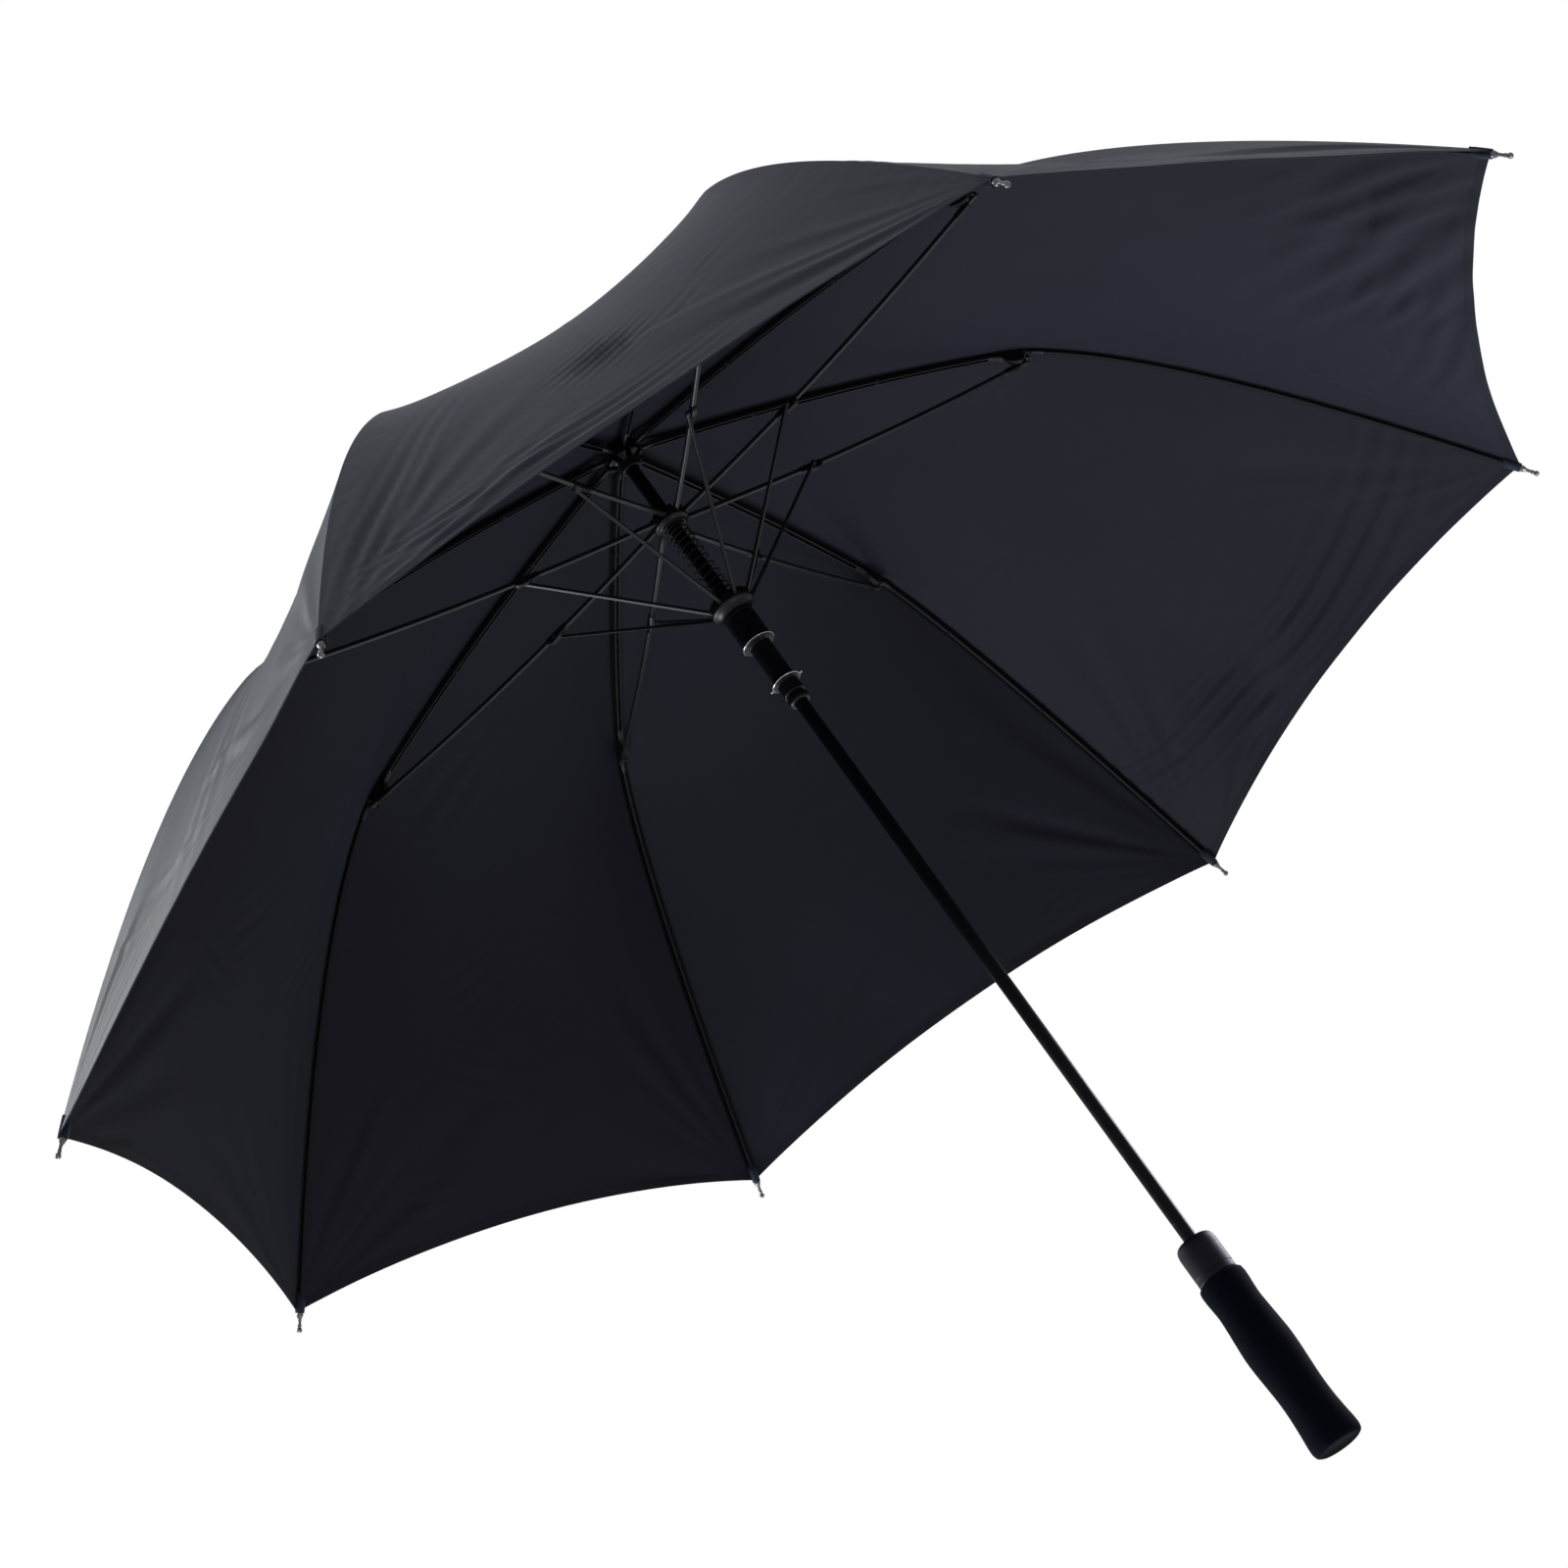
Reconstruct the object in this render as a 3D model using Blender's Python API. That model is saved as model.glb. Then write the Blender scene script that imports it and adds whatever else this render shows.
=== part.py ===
"""Automatic stick golf umbrella: eight ribs, two runners, opening spring, foam handle.

Frame: origin at the centre of the handle's flat butt, +Z up the shaft to the
ferrule, rib k at azimuth 45*(k-1) degrees from +X.  Lengths in metres.
"""
import bpy
import bmesh
import numpy as np
from math import sin, cos, tan, pi, radians, atan2, hypot, acos, asin
from mathutils import Matrix, Vector

for _o in list(bpy.data.objects):
    bpy.data.objects.remove(_o, do_unlink=True)

# ---------------------------------------------------------------- dimensions
RIBS = 8                     # ribs, stretchers and links round the shaft
TIP_R = 0.630                # circle through the rib tip balls, canopy open
TIP_Z = 0.584                # height of that circle above the handle butt
GAP = 0.0003                 # clearance kept between neighbouring pieces

SHAFT_R = 0.0051             # steel tube
SHAFT_BORE = 0.0043
SHAFT_LOW, SHAFT_HIGH = 0.0085, 0.9340
SLIDE_R = 0.0055             # bores that run on the shaft

CROWN = (0.0125, 0.9205)     # rib hinge in the crown notch, (radius, height)
ELBOW = (0.3340, 0.8675)     # rib connector, where the rib begins to flex
PIVOT_DROP = 0.0070          # stretcher pivot under the connector
RIB_BOW = 0.0070             # upward bow of the inner rib
RIB_HALF_W, RIB_HALF_H = 0.0022, 0.0024
ROD_R = 0.00165              # fibreglass outer rib
LEAVE_DEG, ARRIVE_DEG = 25.0, 51.0   # outer rib's slope at connector and tip

HUB = (0.0120, 0.8505)       # stretcher pivot in the upper runner
STRETCH_SIDE = 0.00425       # stretcher runs beside the rib, this far off its plane
STRETCH_HALF_W, STRETCH_HALF_H = 0.0017, 0.0018
STRETCH_SAG = 0.0052
LINK_AT = (0.1150, -0.0050)  # link pivot on the stretcher: along it, above it
RUNNER_PIVOT = (0.0165, 0.7620)      # link pivot in the lower runner
LINK_SIDE = 0.0007
LINK_HALF_W, LINK_HALF_H = 0.0015, 0.0013

RUNNER_TOP, RUNNER_STEP, RUNNER_LOW = 0.7660, 0.7226, 0.6646
RING_LOW, RING_HIGH, RING_R = 0.6837, 0.6867, 0.0110
CATCH_R, CATCH_GROOVE_R = 0.0085, 0.0072
SLEEVE_R, RUNNER_FLANGE_R = 0.0120, 0.0180
UPPER_LOW, UPPER_HIGH, UPPER_FLANGE_R = 0.8425, 0.8560, 0.0145

SPRING_R, SPRING_WIRE_R, SPRING_COILS = 0.0085, 0.0006, 11

COLLAR_LOW, COLLAR_HIGH, COLLAR_R = 0.1370, 0.1690, 0.01475
LATCH_Z = 0.1575             # latch plate's mid height
BUTTON_DEG = 100.0           # azimuth of the release button
GRIP_TOP = 0.1364

FABRIC_T = 0.0008            # canopy cloth as modelled
FABRIC_OFF = 0.0050          # cloth's middle above the rib's axis
CLOTH_START_R = 0.0105
CLOTH_END = 0.0130           # cloth corner stops this far before the tip ball
FERRULE_TOP = 0.9900

CLOSED_RIB_DEG = 88.0        # inner rib's angle below horizontal when furled

# ---------------------------------------------------------------- linkage
rib_len = hypot(ELBOW[0] - CROWN[0], CROWN[1] - ELBOW[1])
rib_deg = np.degrees(atan2(CROWN[1] - ELBOW[1], ELBOW[0] - CROWN[0]))


def rib_points(deg):
    """Connector and stretcher pivot with the inner rib deg below horizontal."""
    a = radians(deg)
    elbow = (CROWN[0] + rib_len * cos(a), CROWN[1] - rib_len * sin(a))
    return elbow, (elbow[0] - PIVOT_DROP * sin(a), elbow[1] - PIVOT_DROP * cos(a))


ELBOW_PIVOT = rib_points(rib_deg)[1]
stretch_len = hypot(ELBOW_PIVOT[0] - HUB[0], ELBOW_PIVOT[1] - HUB[1])
stretch_deg = np.degrees(atan2(ELBOW_PIVOT[1] - HUB[1], ELBOW_PIVOT[0] - HUB[0]))


def link_point(hub, deg):
    a = radians(deg)
    return (hub[0] + LINK_AT[0] * cos(a) - LINK_AT[1] * sin(a),
            hub[1] + LINK_AT[0] * sin(a) + LINK_AT[1] * cos(a))


LINK_PIVOT = link_point(HUB, stretch_deg)
link_len = hypot(LINK_PIVOT[0] - RUNNER_PIVOT[0], LINK_PIVOT[1] - RUNNER_PIVOT[1])
link_deg = np.degrees(atan2(LINK_PIVOT[1] - RUNNER_PIVOT[1], LINK_PIVOT[0] - RUNNER_PIVOT[0]))

closed_elbow, closed_pivot = rib_points(CLOSED_RIB_DEG)
closed_stretch_deg = np.degrees(acos((closed_pivot[0] - HUB[0]) / stretch_len))
closed_hub = (HUB[0], closed_pivot[1] - stretch_len * sin(radians(closed_stretch_deg)))
closed_link_point = link_point(closed_hub, closed_stretch_deg)
closed_link_deg = np.degrees(acos((closed_link_point[0] - RUNNER_PIVOT[0]) / link_len))
closed_runner = closed_link_point[1] - link_len * sin(radians(closed_link_deg))
RUNNER_TRAVEL = RUNNER_PIVOT[1] - closed_runner
HUB_TRAVEL = HUB[1] - closed_hub[1]
GROOVE_Z = LATCH_Z + RUNNER_TRAVEL

# ---------------------------------------------------------------- materials
def material(name, colour, rough, metal=0.0):
    m = bpy.data.materials.new(name)
    m.use_nodes = True
    b = m.node_tree.nodes["Principled BSDF"]
    b.inputs["Base Color"].default_value = (*colour, 1.0)
    b.inputs["Roughness"].default_value = rough
    b.inputs["Metallic"].default_value = metal
    m.diffuse_color = (*colour, 1.0)
    return m


CLOTH = material("canopy_cloth", (0.045, 0.047, 0.056), 0.62)
STEEL = material("black_steel", (0.020, 0.021, 0.026), 0.32, 0.6)
ROD = material("fibreglass_rod", (0.016, 0.016, 0.020), 0.38)
BLACK = material("black_plastic", (0.014, 0.014, 0.016), 0.42)
TIP = material("tip_plastic", (0.030, 0.030, 0.034), 0.35)
COLLAR = material("collar_plastic", (0.085, 0.078, 0.098), 0.30)
FOAM = material("grip_foam", (0.018, 0.022, 0.040), 0.85)
SPRING = material("spring_wire", (0.10, 0.10, 0.11), 0.35, 0.9)
BUTTON = material("button_plastic", (0.030, 0.030, 0.034), 0.35)


# ---------------------------------------------------------------- builders
def finish(name, bm, mat, smooth=35.0):
    """Close off a bmesh as one named object with its faces pointing out."""
    bmesh.ops.remove_doubles(bm, verts=bm.verts, dist=1e-6)
    bmesh.ops.recalc_face_normals(bm, faces=bm.faces)
    if bm.calc_volume(signed=True) < 0:
        bmesh.ops.reverse_faces(bm, faces=bm.faces)
    me = bpy.data.meshes.new(name)
    bm.to_mesh(me)
    bm.free()
    me.materials.append(mat)
    me.shade_smooth()
    me.set_sharp_from_angle(angle=radians(smooth))
    ob = bpy.data.objects.new(name, me)
    bpy.context.collection.objects.link(ob)
    return ob


def turned(name, profile, mat, steps=32, axis="Z", smooth=35.0, ring=True):
    """Spin a profile of (radius, height) pairs; ring closes it into a bored piece."""
    bm = bmesh.new()
    def spot(r, h):
        return (r, 0.0, h) if axis == "Z" else (h, 0.0, r)
    vs = [bm.verts.new(spot(r, h)) for r, h in profile]
    edges = [bm.edges.new((a, b)) for a, b in zip(vs, vs[1:])]
    if ring:
        edges.append(bm.edges.new((vs[-1], vs[0])))
    bmesh.ops.spin(bm, geom=vs + edges, cent=(0, 0, 0),
                   axis=(0, 0, 1) if axis == "Z" else (1, 0, 0), dvec=(0, 0, 0),
                   angle=2 * pi, steps=steps, use_merge=True, use_duplicate=False)
    return finish(name, bm, mat, smooth)


def lofted(name, sections, mat, smooth=35.0):
    """Skin a row of equal-length rings of points and cap both ends."""
    bm = bmesh.new()
    rings = [[bm.verts.new(p) for p in s] for s in sections]
    n = len(rings[0])
    for a, b in zip(rings, rings[1:]):
        for i in range(n):
            bm.faces.new((a[i], a[(i + 1) % n], b[(i + 1) % n], b[i]))
    bm.faces.new(rings[0][::-1])
    bm.faces.new(rings[-1])
    return finish(name, bm, mat, smooth)


def cutter(name, boxes):
    """Guide solids for a Boolean: boxes of (low, high, turn about Z)."""
    bm = bmesh.new()
    for low, high, turn in boxes:
        got = bmesh.ops.create_cube(bm, size=1.0)["verts"]
        size = Vector(high) - Vector(low)
        mid = (Vector(high) + Vector(low)) / 2
        for v in got:
            v.co = Vector((v.co.x * size.x, v.co.y * size.y, v.co.z * size.z)) + mid
        bmesh.ops.rotate(bm, verts=got, cent=(0, 0, 0), matrix=Matrix.Rotation(turn, 3, "Z"))
    me = bpy.data.meshes.new(name)
    bm.to_mesh(me)
    bm.free()
    ob = bpy.data.objects.new(name, me)
    bpy.context.collection.objects.link(ob)
    ob.hide_render = True
    ob.display_type = "WIRE"
    return ob


def cut(ob, boxes):
    tool = cutter(ob.name + ".cutter", boxes)
    mod = ob.modifiers.new("slots", "BOOLEAN")
    mod.operation = "DIFFERENCE"
    mod.solver = "EXACT"
    mod.object = tool


def bar_section(x, z, slope, half_w, half_h, y=0.0, up=0.0, down=0.0, chamfer=0.0006):
    """Eight-cornered bar section across a rib-plane curve at (x, z)."""
    tx, tz = cos(slope), sin(slope)
    nx, nz = -tz, tx
    hi, lo = half_h + up, -half_h - down
    c = chamfer
    ring = [(-half_w, lo + c), (-half_w + c, lo), (half_w - c, lo), (half_w, lo + c),
            (half_w, hi - c), (half_w - c, hi), (-half_w + c, hi), (-half_w, hi - c)]
    return [(x + nx * n, y + w, z + nz * n) for w, n in ring]


def rect_section(x, z, slope, half_w, half_h, y=0.0):
    tx, tz = cos(slope), sin(slope)
    nx, nz = -tz, tx
    ring = [(-half_w, -half_h), (half_w, -half_h), (half_w, half_h), (-half_w, half_h)]
    return [(x + nx * n, y + w, z + nz * n) for w, n in ring]


# ---------------------------------------------------------------- rib curves
def upper_axis(t):
    """Inner rib's axis from crown hinge (t=0) to connector (t=1), with its slope."""
    e = Vector((ELBOW[0] - CROWN[0], ELBOW[1] - CROWN[1]))
    n = Vector((-e.y, e.x)).normalized()
    p = Vector(CROWN) + e * t + n * (4 * RIB_BOW * t * (1 - t))
    d = e + n * (4 * RIB_BOW * (1 - 2 * t))
    return p.x, p.y, atan2(d.y, d.x)


def _flex_handle():
    """Control point where the tangents at the connector and at the tip meet."""
    a, b = radians(LEAVE_DEG), radians(ARRIVE_DEG)
    m = np.array([[cos(a), cos(b)], [-sin(a), -sin(b)]])
    s = np.linalg.solve(m, np.array([TIP_R - ELBOW[0], TIP_Z - ELBOW[1]]))
    return Vector((ELBOW[0] + s[0] * cos(a), ELBOW[1] - s[0] * sin(a)))


FLEX = _flex_handle()


def lower_axis(t):
    """Outer rib's flexed axis from connector (t=0) to tip ball (t=1)."""
    a, b, c = Vector(ELBOW), FLEX, Vector((TIP_R, TIP_Z))
    p = a * (1 - t) ** 2 + b * (2 * t * (1 - t)) + c * t * t
    d = (b - a) * (1 - t) + (c - b) * t
    return p.x, p.y, atan2(d.y, d.x)


lower_len = sum((Vector(lower_axis((i + 1) / 200)[:2]) - Vector(lower_axis(i / 200)[:2])).length
                for i in range(200))
chord_deg = np.degrees(atan2(ELBOW[1] - TIP_Z, TIP_R - ELBOW[0]))


def place(mesh_ob, name, k, pivot):
    """Copy k of a rib-plane piece whose mesh was drawn in the plane of rib 1."""
    ob = bpy.data.objects.new(name, mesh_ob.data)
    bpy.context.collection.objects.link(ob)
    a = 2 * pi * (k - 1) / RIBS
    ob.location = (pivot[0] * cos(a), pivot[0] * sin(a), pivot[1])
    ob.rotation_euler = (0, 0, a)
    return ob


def repeat(proto, stem, pivot):
    """Move the drawing's origin to the joint axis, then set out the copies."""
    proto.data.transform(Matrix.Translation((-pivot[0], 0, -pivot[1])))
    for k in range(1, RIBS + 1):
        place(proto, f"{stem}_{k}", k, pivot)
    bpy.data.objects.remove(proto, do_unlink=True)


# ---------------------------------------------------------------- inner ribs
def build_upper_ribs():
    s = []
    x0, z0, d0 = upper_axis(0.0)
    back = 0.0030
    s.append(bar_section(x0 - back * cos(d0), z0 - back * sin(d0), d0, RIB_HALF_W, 0.0019))
    s.append(bar_section(x0 - 0.0012, z0, d0, RIB_HALF_W, RIB_HALF_H))
    for t in (0.2, 0.4, 0.6, 0.8):
        x, z, d = upper_axis(t)
        s.append(bar_section(x, z, d, RIB_HALF_W, RIB_HALF_H))
    # the moulded connector: deeper, with the boss that carries the stretcher pivot
    for t, drop in ((0.925, 0.0), (0.940, 0.0030), (0.965, 0.0072), (0.992, 0.0072)):
        x, z, d = upper_axis(t)
        s.append(bar_section(x, z, d, RIB_HALF_W, RIB_HALF_H, down=drop))
    x, z, d = upper_axis(0.9965)
    s.append(bar_section(x, z, d, RIB_HALF_W, RIB_HALF_H - 0.0004, down=0.0040))
    return lofted("upper_rib", s, STEEL)


repeat(build_upper_ribs(), "upper_rib", CROWN)


# ---------------------------------------------------------------- outer ribs
TIP_CAP = 0.0220             # cap mouth this far before the ball's centre
ROD_END = 0.0120             # rod stops this far before the ball's centre


def at_length(s):
    """Curve parameter at arc length s before the tip."""
    t, left = 1.0, s
    while left > 0:
        a, b = Vector(lower_axis(t)[:2]), Vector(lower_axis(t - 0.0005)[:2])
        left -= (a - b).length
        t -= 0.0005
    return t


def build_lower_ribs():
    s = []
    t0, t1 = 0.0045, at_length(ROD_END)
    for i in range(9):
        t = t0 + (t1 - t0) * i / 8
        x, z, d = lower_axis(t)
        nx, nz = -sin(d), cos(d)
        r = ROD_R
        s.append([(x + nx * r * sin(a), r * cos(a), z + nz * r * sin(a))
                  for a in (2 * pi * j / 6 for j in range(6))])
    return lofted("lower_rib", s, ROD, smooth=70)


repeat(build_lower_ribs(), "lower_rib", ELBOW)


# ---------------------------------------------------------------- rib tips
def build_tips():
    """Moulded cap over the rod's end, with a slim neck and a ball."""
    profile = [(0.0020, -TIP_CAP), (0.0027, -TIP_CAP), (0.0027, -0.0100), (0.0017, -0.0070),
               (0.0017, -0.0030), (0.0028, -0.0018), (0.0032, 0.0), (0.0024, 0.0022), (0.0, 0.0032)]
    inner = [(0.0, -0.0105), (0.0020, -0.0112)]
    bm = bmesh.new()
    pts = inner + profile
    vs = [bm.verts.new((h, 0.0, r)) for r, h in pts]
    edges = [bm.edges.new((a, b)) for a, b in zip(vs, vs[1:])]
    bmesh.ops.spin(bm, geom=vs + edges, cent=(0, 0, 0), axis=(1, 0, 0), dvec=(0, 0, 0),
                   angle=2 * pi, steps=8, use_merge=True, use_duplicate=False)
    d = lower_axis(1.0)[2]
    bmesh.ops.rotate(bm, verts=bm.verts, cent=(0, 0, 0), matrix=Matrix.Rotation(-d, 3, "Y"))
    bmesh.ops.translate(bm, verts=bm.verts, vec=(TIP_R, 0, TIP_Z))
    return finish("rib_tip", bm, TIP, 50)


repeat(build_tips(), "rib_tip", ELBOW)


# ---------------------------------------------------------------- stretchers
def stretch_axis(t):
    a = radians(stretch_deg)
    u = stretch_len * t
    v = -4 * STRETCH_SAG * t * (1 - t)
    x = HUB[0] + u * cos(a) - v * sin(a)
    z = HUB[1] + u * sin(a) + v * cos(a)
    return x, z, a + atan2(-4 * STRETCH_SAG * (1 - 2 * t), stretch_len)


def build_stretchers():
    s = []
    x, z, d = stretch_axis(0.0)
    s.append(rect_section(x - 0.0022, z, d, STRETCH_HALF_W, 0.0014, STRETCH_SIDE))
    for t in (0.0, 0.18, 0.345, 0.375, 0.60, 0.80, 0.985):
        x, z, d = stretch_axis(t)
        s.append(rect_section(x, z, d, STRETCH_HALF_W, STRETCH_HALF_H, STRETCH_SIDE))
    x, z, d = stretch_axis(1.0)
    s.append(rect_section(x + 0.0022, z, d, STRETCH_HALF_W, 0.0014, STRETCH_SIDE))
    return lofted("stretcher", s, STEEL)


repeat(build_stretchers(), "stretcher", HUB)


# ---------------------------------------------------------------- links
def build_links():
    a = radians(link_deg)
    s = []
    for u, h in ((-0.0018, 0.0009), (0.0, LINK_HALF_H), (link_len, LINK_HALF_H), (link_len + 0.0018, 0.0009)):
        s.append(rect_section(RUNNER_PIVOT[0] + u * cos(a), RUNNER_PIVOT[1] + u * sin(a), a,
                              LINK_HALF_W, h, LINK_SIDE))
    return lofted("link", s, STEEL)


repeat(build_links(), "link", RUNNER_PIVOT)


# ---------------------------------------------------------------- shaft line
turned("shaft", [(SHAFT_R, SHAFT_HIGH), (SHAFT_R, SHAFT_LOW), (SHAFT_BORE, SHAFT_LOW), (SHAFT_BORE, SHAFT_HIGH)],
       STEEL, steps=20)

turned("ferrule", [(0.0, FERRULE_TOP), (0.0026, FERRULE_TOP - 0.0004), (0.0040, FERRULE_TOP - 0.0030),
                   (0.0046, 0.9560), (0.0058, 0.9500), (0.0058, 0.9460), (0.0050, 0.9440), (0.0072, 0.9350),
                   (0.0039, 0.9350), (0.0039, 0.9160), (0.0, 0.9160)], BLACK, steps=20, ring=False)

turned("top_cap", [(SLIDE_R, 0.9345), (0.0105, 0.9342), (0.0150, 0.9318), (0.0175, 0.9283), (0.0170, 0.9279),
                   (SLIDE_R, 0.9279)], BLACK, steps=24)

crown = turned("crown_notch", [(SLIDE_R, 0.9262), (0.0145, 0.9262), (0.0155, 0.9250), (0.0155, 0.9140),
                               (0.0100, 0.9120), (0.0082, 0.9040), (SLIDE_R, 0.9040)], BLACK, steps=28)
cut(crown, [((0.0084, -0.0026, 0.9105), (0.0200, 0.0026, 0.9247), 2 * pi * k / RIBS) for k in range(RIBS)])

# ---------------------------------------------------------------- upper runner
upper = turned("upper_runner", [(SLIDE_R, UPPER_HIGH + 0.0020), (0.0078, UPPER_HIGH + 0.0020),
                                (0.0084, UPPER_HIGH), (UPPER_FLANGE_R - 0.001, UPPER_HIGH),
                                (UPPER_FLANGE_R, UPPER_HIGH - 0.001), (UPPER_FLANGE_R, 0.8462),
                                (UPPER_FLANGE_R - 0.003, 0.8446), (0.0105, UPPER_LOW), (SLIDE_R, UPPER_LOW)],
               BLACK, steps=28)
cut(upper, [((0.0088, STRETCH_SIDE - 0.0021, HUB[1] - 0.0032), (0.0200, STRETCH_SIDE + 0.0021, UPPER_HIGH + 0.004),
             2 * pi * k / RIBS) for k in range(RIBS)])

# ---------------------------------------------------------------- lower runner
lower = turned("lower_runner", [
    (SLIDE_R, RUNNER_TOP), (RUNNER_FLANGE_R - 0.0010, RUNNER_TOP), (RUNNER_FLANGE_R, RUNNER_TOP - 0.0010),
    (RUNNER_FLANGE_R, 0.7585), (0.0140, 0.7555), (SLEEVE_R, 0.7530), (SLEEVE_R, RUNNER_STEP + 0.0030),
    (SLEEVE_R + 0.0006, RUNNER_STEP + 0.0020), (SLEEVE_R + 0.0006, RUNNER_STEP), (CATCH_R, RUNNER_STEP - 0.0010),
    (CATCH_R, RING_HIGH), (RING_R, RING_HIGH), (RING_R, RING_LOW), (CATCH_R, RING_LOW),
    (CATCH_R, GROOVE_Z + 0.0016), (CATCH_GROOVE_R, GROOVE_Z + 0.0016), (CATCH_GROOVE_R, GROOVE_Z - 0.0016),
    (CATCH_R, GROOVE_Z - 0.0016), (CATCH_R, RUNNER_LOW + 0.0015), (CATCH_R - 0.0012, RUNNER_LOW),
    (SLIDE_R, RUNNER_LOW)], BLACK, steps=28)
cut(lower, [((0.0139, LINK_SIDE - 0.0019, RUNNER_PIVOT[1] - 0.0026), (0.0230, LINK_SIDE + 0.0019, RUNNER_TOP + 0.004),
             2 * pi * k / RIBS) for k in range(RIBS)])


# ---------------------------------------------------------------- opening spring
def build_spring():
    bm = bmesh.new()
    low, high = RUNNER_TOP + GAP + SPRING_WIRE_R, UPPER_LOW - GAP - SPRING_WIRE_R
    per, sides = 10, 4
    n = SPRING_COILS * per
    rings = []
    for i in range(n + 1):
        t = i / n
        turn = 2 * pi * SPRING_COILS * t
        lead = t - sin(2 * pi * t) / (2 * pi) * 0.35      # dead coils lie closer at each end
        z = low + (high - low) * lead
        out = Vector((cos(turn), sin(turn), 0))
        rings.append([bm.verts.new(out * (SPRING_R + SPRING_WIRE_R * cos(a)) + Vector((0, 0, z + SPRING_WIRE_R * sin(a))))
                      for a in (2 * pi * j / sides for j in range(sides))])
    for a, b in zip(rings, rings[1:]):
        for j in range(sides):
            bm.faces.new((a[j], b[j], b[(j + 1) % sides], a[(j + 1) % sides]))
    bm.faces.new(rings[0])
    bm.faces.new(rings[-1][::-1])
    return finish("opening_spring", bm, SPRING, 80)


build_spring()

# ---------------------------------------------------------------- handle
c = COLLAR_R
collar = turned("handle_collar", [
    (0.0090, COLLAR_HIGH - 0.0008), (0.0098, COLLAR_HIGH), (c - 0.0045, COLLAR_HIGH), (c - 0.0020, COLLAR_HIGH - 0.0008),
    (c - 0.0006, COLLAR_HIGH - 0.0026), (c, COLLAR_HIGH - 0.0050), (c, COLLAR_LOW + 0.0008), (c - 0.0008, COLLAR_LOW),
    (SLIDE_R, COLLAR_LOW), (SLIDE_R, 0.1480), (0.0090, 0.1480), (0.0090, LATCH_Z - 0.0016),
    (0.0136, LATCH_Z - 0.0016), (0.0136, LATCH_Z + 0.0016), (0.0090, LATCH_Z + 0.0016)], COLLAR, steps=28)
cut(collar, [((0.0108, -0.0045, 0.1495), (0.0200, 0.0045, 0.1652), radians(BUTTON_DEG))])


def build_button():
    """Thumb button in the collar's window, with a crowned outer face."""
    bm = bmesh.new()
    nu, nv = 6, 6
    def outer(u, v):
        return 0.0152 + 0.0012 * (1 - u * u) ** 0.5 * (1 - v ** 4)
    front = [[bm.verts.new((outer(-1 + 2 * i / nu, -1 + 2 * j / nv), 0.0041 * (-1 + 2 * i / nu),
                            0.15735 + 0.0074 * (-1 + 2 * j / nv))) for j in range(nv + 1)] for i in range(nu + 1)]
    back = [[bm.verts.new((0.0134, v.co.y, v.co.z)) for v in row] for row in front]
    for i in range(nu):
        for j in range(nv):
            bm.faces.new((front[i][j], front[i + 1][j], front[i + 1][j + 1], front[i][j + 1]))
            bm.faces.new((back[i][j], back[i][j + 1], back[i + 1][j + 1], back[i + 1][j]))
    rim = [(i, 0) for i in range(nu)] + [(nu, j) for j in range(nv)] + \
          [(i, nv) for i in range(nu, 0, -1)] + [(0, j) for j in range(nv, 0, -1)]
    for a, b in zip(rim, rim[1:] + rim[:1]):
        bm.faces.new((front[a[0]][a[1]], back[a[0]][a[1]], back[b[0]][b[1]], front[b[0]][b[1]]))
    ob = finish("release_button", bm, BUTTON, 40)
    ob.rotation_euler = (0, 0, radians(BUTTON_DEG))
    return ob


build_button()


def build_latch():
    """Eccentric ring plate round the catch: its far edge sits in the catch's groove."""
    bm = bmesh.new()
    n = 28
    rings = []
    for r, x, z in ((0.0118, 0.0012, -0.0010), (0.0118, 0.0012, 0.0010), (0.0097, 0.0018, 0.0010), (0.0097, 0.0018, -0.0010)):
        rings.append([bm.verts.new((x + r * cos(2 * pi * i / n), r * sin(2 * pi * i / n), LATCH_Z + z)) for i in range(n)])
    for a, b in zip(rings, rings[1:] + rings[:1]):
        for i in range(n):
            bm.faces.new((a[i], a[(i + 1) % n], b[(i + 1) % n], b[i]))
    ob = finish("latch_plate", bm, STEEL, 40)
    ob.rotation_euler = (0, 0, radians(BUTTON_DEG))
    return ob


build_latch()

turned("handle_core", [(0.0, 0.0080), (SLIDE_R, 0.0080), (SLIDE_R, 0.1362), (0.0112, 0.1362), (0.0120, 0.1350),
                       (0.0120, 0.0072), (0.0112, 0.0064), (0.0, 0.0064)], BLACK, steps=20, ring=False)

GRIP = [(0.0158, GRIP_TOP), (0.0168, 0.1352), (0.0172, 0.1290), (0.0167, 0.1215), (0.0163, 0.1150),
        (0.0167, 0.1050), (0.0175, 0.0940), (0.0183, 0.0800), (0.0181, 0.0700), (0.0174, 0.0580), (0.0167, 0.0430),
        (0.0169, 0.0320), (0.0178, 0.0190), (0.0187, 0.0085), (0.0187, 0.0045), (0.0176, 0.0012), (0.0155, 0.0)]
turned("foam_grip", [(0.0, 0.0060), (0.0124, 0.0060), (0.0124, GRIP_TOP)] + GRIP + [(0.0, 0.0)], FOAM,
       steps=24, ring=False, smooth=60)


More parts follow.
